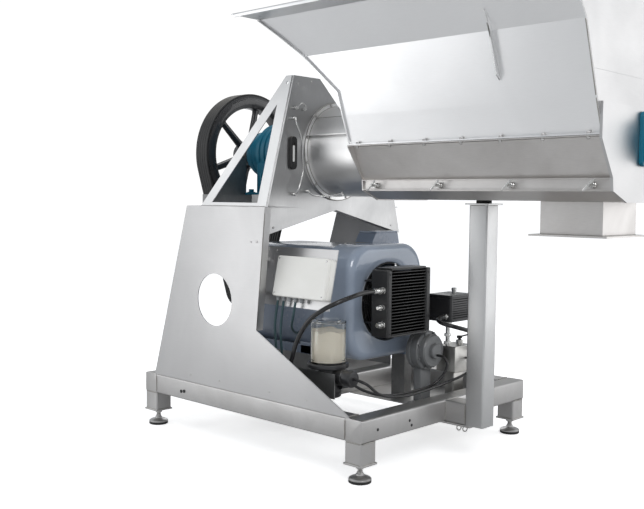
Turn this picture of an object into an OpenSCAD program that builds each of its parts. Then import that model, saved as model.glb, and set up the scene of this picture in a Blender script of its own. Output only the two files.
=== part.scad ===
// Belt driven hammer mill on a welded frame: motor bay and tower at -X, trough and feed hopper at +X.
// Millimetres, +Z up. X runs along the rotor shaft, Y = 0 is the shaft's centre plane, Z = 0 the floor.

/* [Base frame] */
// length of the welded base along the shaft
base_length = 1593; // [1300:1:1900]
// width of the base across the shaft
base_width = 1340; // [1100:1:1600]
// width of the square tubes
rail_w = 100; // [60:1:140]
// height of the base tubes
rail_h = 105; // [60:1:140]
// height of the top of the base above the floor
rail_top = 291; // [220:1:400]
// diameter of a levelling foot
foot_d = 104; // [60:1:160]

/* [Tower] */
// height of the rotor shaft above the floor
axis_z = 1515; // [1300:1:1700]
// height of the top of the side panels
shelf_z = 1219; // [1000:1:1300]
// height of the top of the tower
tower_top = 1893; // [1700:1:2100]
// half width of the tower at its top
tower_top_half = 331; // [250:1:400]
// radius of the round hole in the side panel
panel_hole_r = 133; // [60:1:180]

/* [Trough and hopper] */
// length of the trough
trough_length = 1270; // [900:1:1800]
// half width of the trough at the bolted joint
joint_half = 400; // [300:1:480]
// height of the hopper's rim
rim_z = 2100; // [1900:1:2400]
// half width of the hopper's mouth
mouth_half = 697; // [600:1:800]
// half width over the hopper's flat rim
rim_half = 870; // [720:1:980]
// radius of the shaft tube
tube_r = 240; // [180:1:260]

/* [Rotor] */
// radius of the rotor shaft
shaft_r = 45; // [30:1:60]
// radius of the rotor discs
disc_r = 165; // [120:1:190]
// radius of the circle the hammer pins sit on
pin_circle_r = 130; // [100:1:150]
// length of a hammer from its pin to its tip
hammer_reach = 85; // [50:1:95]
// radius of the bar cage around the rotor
cage_r = 232; // [225:1:240]

/* [Drive] */
// outer radius of the big pulley
big_r = 345; // [250:1:380]
// outer radius of the motor pulley
small_r = 122; // [80:1:160]
// height of the motor shaft
motor_z = 735; // [640:1:800]
// width and height of the motor's fan cowl
cowl_w = 590; // [450:1:620]

/* [Hidden] */
$fn = 48;
fit = 0.08;
sheet = 4;
base_x0 = -1329;
base_x1 = base_x0 + base_length;
half = base_width / 2;
rail_bot = rail_top - rail_h;
leg_x = [base_x0 + rail_w / 2, base_x1 - rail_w / 2];
leg_y = half - rail_w / 2;
foot_top = 82;
beam_x = [-1100, -590];
post_x = base_x1 + 114;
pan_bottom = 1262;
pad_top = pan_bottom;
pad_bottom = 1248;
plate_x = -518;
plate_t = 12;
lean = atan(0.2635);
tower_base_half = tower_top_half + (tower_top - shelf_z) * tan(lean);
lip_half = tower_top_half + (tower_top - 1068) * tan(lean);
slope_len = (tower_top - shelf_z) / cos(lean);
trough_x0 = -56;
trough_x1 = trough_x0 + trough_length;
skirt_half = 305;
skirt_z = 1354;
skirt_low = 1306;
clamp_x = [24, 394, 764, 1134];
clamp_z = 1327;
chute_x0 = 820;
chute_x1 = 1100;
bolt_n = 7;
bolt_pitch = 195;
flange_half = joint_half + 26;
bolt_y = joint_half + 16;
pulley_x = -1286;
pulley_w = 100;
shaft_x0 = -1298;
shaft_x1 = 1322;
motor_x0 = -1030;
motor_x1 = -326;
cowl_x1 = -146;
disc_n = 8;
disc_pitch = 150;
disc_x0 = 42;
pin_r = 10;
shaft_hole = shaft_r + 7;
pin_angles = [-90, 30, 150];
belt_t = 12;
belt_gap = 0.4;
belt_n = 5;
centre_gap = axis_z - motor_z;
tangent = acos((big_r - small_r) / centre_gap);
box_tilt = 12;
tray_x0 = -490;
tray_y0 = 100;

// a closed square tube: its inside is left empty
module tube_bar(size, wall = 5) {
    difference() {
        cube(size);
        translate([wall, wall, wall])
            cube([size[0] - 2 * wall, size[1] - 2 * wall, size[2] - 2 * wall]);
    }
}

module cyl_x(r, x0, x1) {
    translate([x0, 0, 0]) rotate([0, 90, 0]) cylinder(r = r, h = x1 - x0);
}

module cyl_y(r, y0, y1) {
    translate([0, y1, 0]) rotate([90, 0, 0]) cylinder(r = r, h = y1 - y0);
}

// a sheet lying across the shaft: points are [y, z]
module across(x0, x1, pts) {
    translate([x0, 0, 0]) rotate([90, 0, 90]) linear_extrude(x1 - x0) polygon(pts);
}

// a sheet lying along the shaft: points are [x, z]
module along(y0, y1, pts) {
    translate([0, y1, 0]) rotate([90, 0, 0]) linear_extrude(y1 - y0) polygon(pts);
}

// both halves of a profile that is mirrored about Y = 0: right half given from bottom to top
function mirrored(pts) = concat(pts, [for (i = [len(pts) - 1:-1:0]) [-pts[i][0], pts[i][1]]]);

// ---- pipes and hoses: a ring of points swept along a smooth path through the route's points
function bez(p, i, t) =
    let (a = p[max(i - 1, 0)], b = p[i], c = p[i + 1], d = p[min(i + 2, len(p) - 1)])
    0.5 * ((2 * b) + (c - a) * t + (2 * a - 5 * b + 4 * c - d) * t * t
        + (3 * b - a - 3 * c + d) * t * t * t);
function smooth(p, n) = concat([for (i = [0:len(p) - 2], k = [0:n - 1]) bez(p, i, k / n)],
    [p[len(p) - 1]]);
function unit(v) = v / norm(v);
function tang(p, i) = unit(p[min(i + 1, len(p) - 1)] - p[max(i - 1, 0)]);
function side_of(t) = unit(cross(t, abs(t[2]) < 0.9 ? [0, 0, 1] : [1, 0, 0]));
function carried(p, i) = i == 0 ? side_of(tang(p, 0))
    : let (t = tang(p, i), s = carried(p, i - 1)) unit(s - t * (s * t));
function ring(p, i, r, m) =
    let (t = tang(p, i), s = carried(p, i), u = cross(t, s))
    [for (k = [0:m - 1]) p[i] + r * (cos(360 * k / m) * s + sin(360 * k / m) * u)];
module sweep(route, r, n = 6, m = 8) {
    p = smooth(route, n);
    pts = [for (i = [0:len(p) - 1]) each ring(p, i, r, m)];
    sides = [for (i = [0:len(p) - 2], k = [0:m - 1])
        [i * m + k, (i + 1) * m + k, (i + 1) * m + (k + 1) % m, i * m + (k + 1) % m]];
    ends = [[for (k = [0:m - 1]) k], [for (k = [m - 1:-1:0]) (len(p) - 1) * m + k]];
    polyhedron(points = pts, faces = concat(sides, ends), convexity = 10);
}

// ---------------------------------------------------------------- base frame
module base_rails() {
    color("silver")
    for (y = [-half, half - rail_w])
        translate([base_x0 + rail_w, y, rail_bot])
            tube_bar([base_length - 2 * rail_w, rail_w, rail_h]);
}

module base_crosses() {
    color("silver") {
        for (x = [base_x0, base_x1 - rail_w])
            translate([x, -half, rail_bot]) tube_bar([rail_w, base_width, rail_h]);
        for (x = beam_x)
            translate([x, -half + rail_w, rail_bot])
                tube_bar([rail_w, base_width - 2 * rail_w, rail_h]);
    }
}

module legs() {
    color("silver")
    for (x = leg_x, y = [-leg_y, leg_y])
        difference() {
            union() {
                translate([x - rail_w / 2, y - rail_w / 2, foot_top + 8])
                    tube_bar([rail_w, rail_w, rail_bot - foot_top - 8]);
                translate([x - 55, y - 55, foot_top]) cube([110, 110, 8]);
            }
            translate([x, y, foot_top - 1]) cylinder(r = 12.3, h = 20);
        }
}

module feet() {
    color("gainsboro")
    for (x = leg_x, y = [-leg_y, leg_y])
        translate([x, y, 0]) {
            rotate_extrude()
                polygon([[0, 14], [foot_d / 2, 14], [foot_d / 2, 20], [foot_d / 2 - 10, 26],
                    [18, 31], [12, 34], [12, 98], [0, 98]]);
            translate([0, 0, foot_top - 18]) linear_extrude(18) circle(r = 21, $fn = 6);
        }
}

module foot_pads() {
    color("black")
    for (x = leg_x, y = [-leg_y, leg_y])
        translate([x, y, 0]) cylinder(r = foot_d / 2, h = 14);
}

module post_arm() {
    color("silver") {
        translate([base_x1, -50, rail_bot]) tube_bar([post_x - base_x1, 100, rail_h]);
        translate([post_x - 200, -50, rail_bot - 10]) cube([228, 100, 10]);
    }
    color("dimgray")
    for (x = [base_x1 + 71, base_x1 + 106])
        translate([x, -34, rail_bot - 20]) rotate([90, 0, 20])
            rotate_extrude() translate([12, 0]) circle(r = 3, $fn = 16);
}

module support_post() {
    color("silver") {
        translate([post_x, -50, rail_bot]) tube_bar([100, 100, pad_bottom - 8 - rail_bot]);
        translate([post_x - 15, -65, pad_bottom - 8]) cube([130, 130, 8]);
    }
}

module post_pad() {
    color("black")
    translate([post_x + 50, 0, pad_bottom]) cylinder(r = 36, h = pad_top - pad_bottom);
}

// ---------------------------------------------------------------- side panels and tower
module side_panel_near() {
    color("silver")
    difference() {
        union() {
            along(-half, -half + sheet, [[-1242, rail_top], [196, rail_top], [-423, 616],
                [-368, shelf_z], [-963, shelf_z]]);
            along(-half + sheet, -half + 44, [[-427, 616], [-423, 616], [-368, shelf_z],
                [-372, shelf_z]]);
            translate([0, 0, shelf_z - sheet]) linear_extrude(sheet)
                polygon([[-963, -half + 2], [-368, -half + 2], [-368, -450], [-1066, -450],
                    [-1066, -560]]);
        }
        translate([-739, 0, 742]) cyl_y(panel_hole_r, -half - 5, -half + 30);
        // slot that the front plate passes down through
        translate([plate_x - plate_t - 0.4, -lip_half - 1, shelf_z - 20])
            cube([plate_t + 0.8, lip_half - 440, 30]);
    }
}

// the far panel stands in from the frame's edge, on the cross beams
module side_panel_far() {
    color("silver")
    difference() {
        union() {
            along(500, 500 + sheet, [[-1242, rail_top], [-530, rail_top], [-530, shelf_z],
                [-963, shelf_z]]);
            translate([0, 0, shelf_z - sheet]) linear_extrude(sheet)
                polygon([[-1066, 450], [plate_x - plate_t, 450], [plate_x - plate_t, 545],
                    [-1066, 545]]);
        }
        translate([-880, 0, 742]) cyl_y(panel_hole_r, 480, 520);
    }
}

module tower_side() {
    difference() {
        linear_extrude(sheet)
            polygon([[plate_x - plate_t, 0], [plate_x - plate_t, slope_len], [-572, slope_len],
                [-1040, 0]]);
        translate([0, 0, -1]) linear_extrude(sheet + 2)
            polygon([[-598, 18], [-598, slope_len * 0.78], [-958, 18]]);
        translate([-552, slope_len - 40, -1]) cylinder(r = 8, h = sheet + 2);
    }
}

module tower_side_near() {
    color("silver")
    translate([0, -tower_base_half, shelf_z]) rotate([90 - lean, 0, 0]) tower_side();
}

module tower_side_far() {
    color("silver")
    mirror([0, 1, 0])
        translate([0, -tower_base_half, shelf_z]) rotate([90 - lean, 0, 0]) tower_side();
}

module front_plate() {
    color("silver")
    difference() {
        union() {
            across(plate_x - plate_t, plate_x, [[-lip_half, 1068], [0, 1201], [lip_half, 1068],
                [tower_top_half, tower_top], [-tower_top_half, tower_top]]);
            across(plate_x - plate_t - 40, plate_x - plate_t, [[-490, 1083], [-490, 1088],
                [0, 1206], [490, 1088], [490, 1083], [0, 1201]]);
            across(-572, plate_x - plate_t, [[-tower_top_half + 6, tower_top - sheet],
                [-tower_top_half + 6, tower_top], [tower_top_half - 6, tower_top],
                [tower_top_half - 6, tower_top - sheet]]);
        }
        translate([0, 0, axis_z]) cyl_x(70, plate_x - 30, plate_x + 5);
    }
}

module drive_shelf() {
    color("dimgray") {
        for (x = [-1060, -660])
            translate([x, -488, shelf_z]) tube_bar([60, 976, 60]);
        for (s = [0, 1])
            mirror([0, s, 0])
                across(-1066, -1060, [[-415, shelf_z], [-415, 1304], [-220, 1491],
                    [-170, 1491], [-170, shelf_z]]);
    }
}

module bearing_housing() {
    color("teal")
    difference() {
        union() {
            translate([-990, -160, 1090]) cube([320, 320, 500]);
            translate([-1060, -190, shelf_z + 60]) cube([460, 380, 14]);
            translate([0, 0, axis_z]) cyl_x(170, -990, -670);
            translate([0, 0, axis_z]) cyl_x(130, -1100, -600);
            translate([0, 0, axis_z]) cyl_x(95, -1150, -560);
            translate([-900, 0, 1680]) cylinder(r = 30, h = 35);
        }
        translate([0, 0, axis_z]) cyl_x(shaft_r + fit, -1200, -500);
        translate([0, 0, axis_z]) cyl_x(110, -960, -700);
    }
}

// ---------------------------------------------------------------- motor
module motor_rails() {
    color("dimgray") {
        translate([-1100, -290, rail_top]) tube_bar([720, 70, 164], 6);
        translate([-1100, 220, rail_top]) tube_bar([200, 70, 164], 6);
        translate([-290, 215, rail_bot + 4]) tube_bar([90, 60, 234], 6);
    }
}

module rounded(w, r) {
    square([w, w - 2 * r], center = true);
    square([w - 2 * r, w], center = true);
    for (a = [-1, 1], b = [-1, 1])
        translate([a * (w / 2 - r), b * (w / 2 - r)]) circle(r = r);
}

module motor_body() {
    color("slategray")
    difference() {
        union() {
            translate([-960, 0, motor_z]) rotate([90, 0, 90])
                linear_extrude(motor_x1 + 960) rounded(cowl_w - 30, 130);
            translate([0, 0, motor_z]) cyl_x(230, -1000, -960);
            translate([0, 0, motor_z]) cyl_x(120, motor_x0, -1000);
            translate([-1000, -290, rail_top + 164]) cube([600, 90, 60]);
            translate([-1000, 200, rail_top + 164]) cube([100, 90, 60]);
            translate([-400, 200, rail_top + 164]) cube([motor_x1 + 400, 90, 60]);
            translate([-400, 215, 424]) cube([200, 60, 16]);
            translate([-400, 215, 440]) cube([motor_x1 + 400, 60, 20]);
        }
        translate([0, 0, motor_z]) cyl_x(190, -940, -360);
        translate([0, 0, motor_z]) cyl_x(32 + fit, -1100, -300);
    }
}

module motor_box() {
    color("slategray")
    difference() {
        translate([-430, 60, 1012]) rotate([90, 0, 90])
            linear_extrude(120) polygon([[0, 0], [230, 0], [214, 78], [34, 78]]);
        translate([0, 0, motor_z]) rotate([90, 0, 90]) translate([0, 0, -440])
            linear_extrude(440) rounded(cowl_w, 140);
    }
}

module fan_cowl() {
    color("slategray") {
        difference() {
            translate([motor_x1, 0, motor_z]) rotate([90, 0, 90])
                linear_extrude(cowl_x1 - motor_x1) rounded(cowl_w, 140);
            translate([motor_x1 - 1, 0, motor_z]) rotate([90, 0, 90])
                linear_extrude(cowl_x1 - motor_x1 - 5) rounded(cowl_w - 12, 134);
            translate([0, 0, motor_z]) cyl_x(205, -160, -140);
        }
        translate([motor_x1, 0, motor_z]) rotate([90, 0, 90])
            linear_extrude(6) difference() {
                rounded(cowl_w - 12, 134);
                circle(r = 200);
            }
        translate([0, 0, motor_z]) {
            for (r = [60, 100, 140, 180])
                difference() {
                    cyl_x(r, -152, -146);
                    cyl_x(r - 6, -153, -145);
                }
            for (a = [0, 60, 120])
                rotate([a, 0, 0]) translate([-152, -206, -4]) cube([6, 412, 8]);
        }
    }
}

module motor_shaft() {
    color("gray")
    translate([0, 0, motor_z]) {
        cyl_x(32, -1292, -200);
        difference() {
            cyl_x(small_r, pulley_x, pulley_x + pulley_w);
            for (i = [0:belt_n - 2])
                difference() {
                    cyl_x(small_r + 1, pulley_x + 18.5 + 20 * i, pulley_x + 21.5 + 20 * i);
                    cyl_x(small_r - 4, pulley_x + 18, pulley_x + 22 + 20 * i);
                }
        }
    }
}

module motor_fan() {
    color("black")
    translate([0, 0, motor_z])
        difference() {
            union() {
                cyl_x(60, -290, -205);
                cyl_x(170, -290, -284);
                for (a = [0:45:315])
                    rotate([a, 0, 0]) translate([-290, 50, -3]) cube([70, 125, 6]);
            }
            cyl_x(32, -300, -199);
        }
}

module big_pulley() {
    color("black")
    translate([0, 0, axis_z])
        difference() {
            union() {
                difference() {
                    cyl_x(big_r, pulley_x, pulley_x + pulley_w);
                    cyl_x(big_r - 70, pulley_x - 1, pulley_x + pulley_w + 1);
                }
                cyl_x(75, pulley_x - 4, pulley_x + pulley_w + 8);
                for (a = [18:60:318])
                    rotate([a, 0, 0]) translate([pulley_x + 32, 50, -24])
                        cube([36, big_r - 110, 48]);
            }
            cyl_x(shaft_r, pulley_x - 20, pulley_x + pulley_w + 20);
        }
}

// the shape inside a belt that wraps both pulleys, grown by g
module belt_loop(g) {
    n = [sin(tangent), -cos(tangent)];
    circle(r = big_r + g, $fn = 96);
    translate([0, -centre_gap]) circle(r = small_r + g);
    polygon([(big_r + g) * n, [(small_r + g) * n[0], (small_r + g) * n[1] - centre_gap],
        [-(small_r + g) * n[0], (small_r + g) * n[1] - centre_gap],
        [-(big_r + g) * n[0], (big_r + g) * n[1]]]);
}

module drive_belt() {
    color("black")
    difference() {
        translate([pulley_x + 2, 0, axis_z]) rotate([90, 0, 90])
            linear_extrude(pulley_w - 4)
                difference() {
                    belt_loop(belt_t);
                    belt_loop(belt_gap);
                }
        // the joints between the ribs of the banded belt
        for (i = [1:belt_n - 1])
            translate([pulley_x + 20 * i - 1, 0, axis_z]) rotate([90, 0, 90])
                linear_extrude(2)
                    difference() {
                        belt_loop(belt_t + 1);
                        belt_loop(belt_t - 2);
                    }
    }
}

// ---------------------------------------------------------------- rotor
module rotor_shaft() {
    color("gray")
    translate([0, 0, axis_z]) cyl_x(shaft_r, shaft_x0, shaft_x1);
}

module rotor_discs() {
    color("dimgray") {
        translate([0, 0, axis_z])
            difference() {
                union() {
                    for (i = [0:disc_n - 1])
                        cyl_x(disc_r, disc_x0 + disc_pitch * i, disc_x0 + disc_pitch * i + 12);
                    for (i = [0:disc_n - 2])
                        cyl_x(60, disc_x0 + disc_pitch * i + 12, disc_x0 + disc_pitch * (i + 1));
                }
                cyl_x(shaft_r, 0, 1300);
            }
        translate([0, 0, axis_z])
            for (a = pin_angles)
                rotate([a, 0, 0]) translate([0, pin_circle_r, 0])
                    cyl_x(pin_r, disc_x0 - 8, disc_x0 + disc_pitch * (disc_n - 1) + 20);
    }
}

// one row of hammers, hanging straight down from its pin
module hammer_row(k) {
    y = pin_circle_r * cos(pin_angles[k]);
    z = pin_circle_r * sin(pin_angles[k]);
    for (i = [0:disc_n - 2])
        translate([disc_x0 + disc_pitch * i + 40 + 24 * k, y, axis_z + z])
            difference() {
                union() {
                    translate([0, -24, -hammer_reach]) cube([10, 48, hammer_reach]);
                    cyl_x(24, 0, 10);
                }
                cyl_x(pin_r + fit, -1, 11);
            }
}

module hammers_1() { color("gray") hammer_row(0); }
module hammers_2() { color("gray") hammer_row(1); }
module hammers_3() { color("gray") hammer_row(2); }

// ---------------------------------------------------------------- tube, trough, pan and hopper
module shaft_tube() {
    color("silver")
    translate([0, 0, axis_z])
        difference() {
            union() {
                cyl_x(tube_r + 21, plate_x, plate_x + 12);
                cyl_x(tube_r, plate_x + 12, trough_x0 - 6);
                translate([plate_x + 12, -tube_r - 12, 72]) cube([410, 26, 4]);
            }
            cyl_x(tube_r - 5, plate_x - 1, trough_x0);
        }
}

module trough() {
    color("silver")
    difference() {
        union() {
            // sides from the joint down to the skirt
            for (s = [0, 1])
                mirror([0, s, 0])
                    across(trough_x0, trough_x1, [[joint_half - 15, 1515], [flange_half, 1515],
                        [flange_half, 1509], [joint_half - 12, 1509],
                        [skirt_half + 3, skirt_z], [skirt_half + 20, skirt_z],
                        [skirt_half + 20, skirt_z - 4], [skirt_half, skirt_z - 4],
                        [skirt_half, skirt_low + 4], [skirt_half + 14, skirt_low + 4],
                        [skirt_half + 14, skirt_low], [skirt_half - 4, skirt_low],
                        [skirt_half - 4, skirt_z]]);
            // end wall around the tube
            across(trough_x0 - 6, trough_x0, mirrored([[200, pan_bottom - 4],
                [skirt_half + 8, skirt_low - 4], [skirt_half + 12, skirt_z],
                [flange_half, 1509], [flange_half, 1515]]));
        }
        translate([0, 0, axis_z]) cyl_x(tube_r - 5, trough_x0 - 20, trough_x0 + 20);
        for (i = [0:bolt_n - 1], y = [-bolt_y, bolt_y])
            translate([trough_x0 + 50 + bolt_pitch * i, y, 1490]) cylinder(r = 4.5, h = 40);
        for (x = clamp_x)
            translate([x, 0, clamp_z]) cyl_y(6 + fit, -340, -280);
    }
}

module bar_cage() {
    wall = skirt_half - 4 + (1500 - skirt_z) * (joint_half - 15 - skirt_half + 4) / (1515 - skirt_z);
    color("gray") {
        for (i = [0:20])
            translate([trough_x0 + 6, 0, axis_z]) rotate([180 + 9 * i, 0, 0])
                translate([0, cage_r, -13]) cube([trough_length - 12, 6, 26]);
        for (x = [trough_x0 + 6, 360, 780, trough_x1 - 18])
            translate([0, 0, axis_z])
                difference() {
                    cyl_x(cage_r + 14, x, x + 12);
                    cyl_x(cage_r + 5.5, x - 1, x + 13);
                    translate([x - 2, -300, 0]) cube([16, 600, 300]);
                }
        for (s = [0, 1])
            mirror([0, s, 0])
                translate([trough_x0 + 2, cage_r + 2, 1500])
                    cube([trough_length - 4, wall - cage_r - 2, 5]);
    }
}

module bottom_pan() {
    color("gray")
    difference() {
        union() {
            across(trough_x0, trough_x1, [[-skirt_half + 4, 1346], [-skirt_half + 4, 1302],
                [-200, pan_bottom], [200, pan_bottom], [skirt_half - 4, 1302],
                [skirt_half - 4, 1346], [skirt_half - 8, 1346], [skirt_half - 8, 1305],
                [199, pan_bottom + 4], [-199, pan_bottom + 4], [-skirt_half + 8, 1305],
                [-skirt_half + 8, 1346]]);
            translate([chute_x0 - 4, -154, 1120]) cube([chute_x1 - chute_x0 + 8, 308, 144]);
            translate([chute_x0 - 40, -190, 1112]) cube([chute_x1 - chute_x0 + 80, 380, 8]);
        }
        translate([chute_x0, -150, 1100]) cube([chute_x1 - chute_x0, 300, 200]);
        for (x = [chute_x0 - 24, chute_x1 + 24], y = [-172, 172])
            translate([x, y, 1100]) cylinder(r = 6, h = 30);
        for (x = clamp_x)
            translate([x, 0, clamp_z]) cyl_y(6 + fit, -340, -280);
    }
}

module clamp(k) {
    color("gainsboro")
    translate([clamp_x[k], 0, clamp_z]) {
        cyl_y(6, -352, -284);
        cyl_y(13, -325, -skirt_half - 0.4);
        translate([0, -349, 0]) rotate([0, -45, 0]) translate([-34, -5, -7]) cube([68, 10, 14]);
        translate([-18, -292, -5]) cube([36, 8, 10]);
    }
}

module clamp_1() { clamp(0); }
module clamp_2() { clamp(1); }
module clamp_3() { clamp(2); }
module clamp_4() { clamp(3); }

module end_plate() {
    color("silver")
    difference() {
        across(trough_x1, trough_x1 + 12, mirrored([[200, pan_bottom - 4],
            [skirt_half + 16, skirt_low - 4], [skirt_half + 22, skirt_z],
            [flange_half, 1500], [flange_half, 1640]]));
        translate([0, 0, axis_z]) cyl_x(shaft_hole, trough_x1 - 5, trough_x1 + 20);
    }
}

module end_bearing() {
    color("teal")
    translate([0, 0, axis_z])
        difference() {
            union() {
                translate([trough_x1 + 12, -110, -110]) cube([18, 220, 220]);
                cyl_x(88, trough_x1 + 30, trough_x1 + 108);
                cyl_x(60, trough_x1 + 108, trough_x1 + 120);
            }
            cyl_x(shaft_r + fit, trough_x1, shaft_x1 + 4);
        }
}

module hopper_outer(g) {
    intersection() {
        across(-600, trough_x1 + 60, mirrored([[joint_half + g, 1515], [455 + g, 1654],
            [555 + g, 1932], [mouth_half + g, rim_z]]));
        along(-1000, 1000, [[trough_x0, 1515], [trough_x0, 1757], [-379, rim_z],
            [trough_x1, rim_z], [trough_x1, 1515]]);
    }
}

module hopper() {
    color("silver") {
        difference() {
            union() {
                hopper_outer(0);
                // bolted flange at the foot
                translate([trough_x0 - 6, -flange_half, 1515])
                    cube([trough_length + 6, 2 * flange_half, 6]);
                // raised lip round the sloping end
                intersection() {
                    across(-600, 200, mirrored([[joint_half + 12, 1515], [467, 1654],
                        [567, 1932], [mouth_half + 12, rim_z]]));
                    along(-1000, 1000, [[trough_x0 - 6, 1515], [trough_x0, 1515],
                        [trough_x0, 1757], [-379, rim_z], [-388, rim_z],
                        [trough_x0 - 6, 1754.5]]);
                }
                // stiffening rib half way along each side
                intersection() {
                    hopper_outer(26);
                    translate([811, -1000, 1740]) cube([6, 2000, 260]);
                }
                // flat rim
                for (s = [0, 1])
                    mirror([0, s, 0]) {
                        translate([-388, mouth_half - 6, rim_z])
                            cube([trough_x1 + 388, rim_half - mouth_half + 6, 5]);
                        translate([-388, rim_half - 5, rim_z - 16])
                            cube([trough_x1 + 388, 5, 18]);
                    }
                translate([trough_x1 - 5, -rim_half, rim_z]) cube([5, 2 * rim_half, 5]);
                translate([-388, -rim_half, rim_z]) cube([10, 2 * rim_half, 5]);
            }
            intersection() {
                across(-600, trough_x1 + 60, mirrored([[joint_half - 5.4, 1510],
                    [joint_half - 5.4, 1515], [449.5, 1654.8], [549.3, 1933.6],
                    [mouth_half - 7, rim_z + 0.2], [mouth_half - 7, rim_z + 20]]));
                along(-1000, 1000, [[trough_x0 + 5, 1510], [trough_x0 + 5, 1755],
                    [-372, rim_z + 0.2], [-372, rim_z + 20], [trough_x1 - 5, rim_z + 20],
                    [trough_x1 - 5, 1510]]);
            }
            for (i = [0:bolt_n - 1], y = [-bolt_y, bolt_y])
                translate([trough_x0 + 50 + bolt_pitch * i, y, 1490]) cylinder(r = 4.5, h = 45);
            // half openings around the shaft tube and, at the far end, the shaft
            translate([0, 0, axis_z]) {
                cyl_x(tube_r - 5, trough_x0 - 20, trough_x0 + 20);
                cyl_x(shaft_hole, trough_x1 - 20, trough_x1 + 20);
            }
        }
    }
}

module joint_bolts() {
    color("gainsboro")
    for (i = [0:bolt_n - 1], y = [-bolt_y, bolt_y])
        translate([trough_x0 + 50 + bolt_pitch * i, y, 0]) {
            translate([0, 0, 1498]) cylinder(r = 4, h = 26);
            translate([0, 0, 1521]) linear_extrude(6) circle(r = 7.5, $fn = 6);
            translate([0, 0, 1502.5]) linear_extrude(6.5) circle(r = 7.5, $fn = 6);
        }
}

// ---------------------------------------------------------------- gauge and lubrication
module oil_gauge() {
    color("black")
    translate([plate_x, -340, 1495]) rotate([90, 0, 90])
        difference() {
            linear_extrude(16) {
                square([46, 124], center = true);
                for (b = [-62, 62]) translate([0, b]) circle(r = 23);
            }
            translate([0, 0, 8]) linear_extrude(10) square([18, 104], center = true);
        }
}

module lube_lines() {
    color("gainsboro") {
        for (p = [[-330, 1725], [-272, 1722], [-344, 1672], [-244, 1300], [-339, 1284]])
            translate([0, p[0], p[1]]) {
                cyl_x(9, plate_x, plate_x + 22);
                cyl_x(6, plate_x + 22, plate_x + 30);
            }
        sweep([[plate_x + 26, -330, 1725], [plate_x + 40, -318, 1745], [plate_x + 44, -296, 1744],
            [plate_x + 26, -272, 1722]], 4);
        sweep([[plate_x + 28, -344, 1672], [plate_x + 44, -352, 1640], [plate_x + 40, -310, 1560],
            [plate_x + 40, -304, 1480], [plate_x + 40, -300, 1400], [plate_x + 44, -330, 1320],
            [plate_x + 28, -339, 1284]], 4);
        sweep([[plate_x + 26, -244, 1300], [plate_x + 60, -236, 1278], [plate_x + 110, -180, 1276],
            [plate_x + 150, -120, 1292]], 4);
        translate([plate_x + 150, -120, 1280]) cylinder(r = 9, h = 20);
    }
}

// ---------------------------------------------------------------- oil cooler
module cooler_core() {
    color("black")
    difference() {
        translate([-56, -200, 596]) cube([96, 275, 318]);
        for (i = [0:19])
            translate([0, -210, 602 + 15.6 * i]) cube([50, 295, 9]);
        for (i = [0:19])
            translate([-60, -190, 602 + 15.6 * i]) cube([40, 255, 9]);
    }
}

module cooler_case() {
    color("black") {
        translate([-61, -235, 586]) cube([105, 35, 330]);
        translate([-61, 75, 592]) cube([105, 35, 326]);
        translate([-61, -200, 914]) cube([100, 275, 12]);
        translate([-61, -200, 584]) cube([100, 275, 12]);
        for (y = [-190, 35], z = [640, 850])
            translate([cowl_x1, y, z]) cube([90, 30, 8]);
    }
}

module hose_fittings() {
    color("gainsboro") {
        for (z = [650, 735, 818])
            translate([14, 0, z]) {
                cyl_y(16, -262, -235);
                cyl_y(11, -276, -262);
            }
        // steel riser from the valve block to the filter
        translate([20, 300, 490]) cylinder(r = 11, h = 140);
        translate([20, 300, 540]) linear_extrude(16) circle(r = 18, $fn = 6);
        // filter outlet
        translate([84, 0, 660]) cyl_y(13, 176, 200);
        translate([20, 350, 770]) cylinder(r = 12, h = 26);
    }
}

// ---------------------------------------------------------------- hydraulic group
module drip_tray() {
    color("dimgray")
    translate([tray_x0, tray_y0, rail_bot])
        cube([base_x1 - rail_w - tray_x0, half - rail_w - tray_y0, 4]);
}

module pump_housing() {
    color("gray") {
        translate([0, 175, 475]) {
            cyl_x(104, -90, -10);
            cyl_x(86, -10, 25);
            cyl_x(40, 25, 45);
        }
        translate([-75, 130, rail_bot + 4]) cube([50, 90, 200]);
        translate([-90, 100, rail_bot + 4]) cube([80, 150, 12]);
    }
}

module filter_box() {
    color("black")
    translate([-40, 200, 630]) cube([150, 190, 140]);
}

module valve_block() {
    color("silver")
    difference() {
        union() {
            translate([-40, 285, 350]) cube([120, 160, 140]);
            translate([-10, 320, rail_bot + 4]) cube([60, 90, 165]);
            translate([-20, 445, 380]) cube([80, 45, 70]);
            translate([20, 410, 490]) cylinder(r = 20, h = 20);
        }
        translate([20, 410, 470]) cylinder(r = 8 + fit, h = 60);
    }
}

module valve_lever() {
    color("black")
    translate([20, 410, 0]) {
        translate([0, 0, 474]) cylinder(r = 8, h = 56);
        translate([0, 0, 518]) cylinder(r = 15, h = 14);
        translate([-6, -8, 520]) rotate([0, -18, 0]) cube([95, 16, 8]);
    }
}

// ---------------------------------------------------------------- hoses and cables
module cooler_hose() {
    color("black")
    sweep([[14, -276.8, 818], [14, -306, 818], [22, -400, 816], [30, -480, 806], [6, -556, 782],
        [-50, -600, 744], [-120, -616, 690], [-186, -618, 600], [-228, -616, 500], [-250, -614, 410],
        [-252, -612, 330], [-252, -612, 291.8]], 11, 6, 10);
}

module return_hose() {
    color("black")
    sweep([[84, 175.2, 660], [84, 152, 660], [104, 96, 655], [158, 64, 644], [214, 98, 628],
        [240, 190, 600], [236, 320, 556], [200, 440, 506], [124, 540, 452], [54, 568, 422],
        [20, 536, 415], [20, 491, 415]], 11, 6, 10);
}

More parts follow.
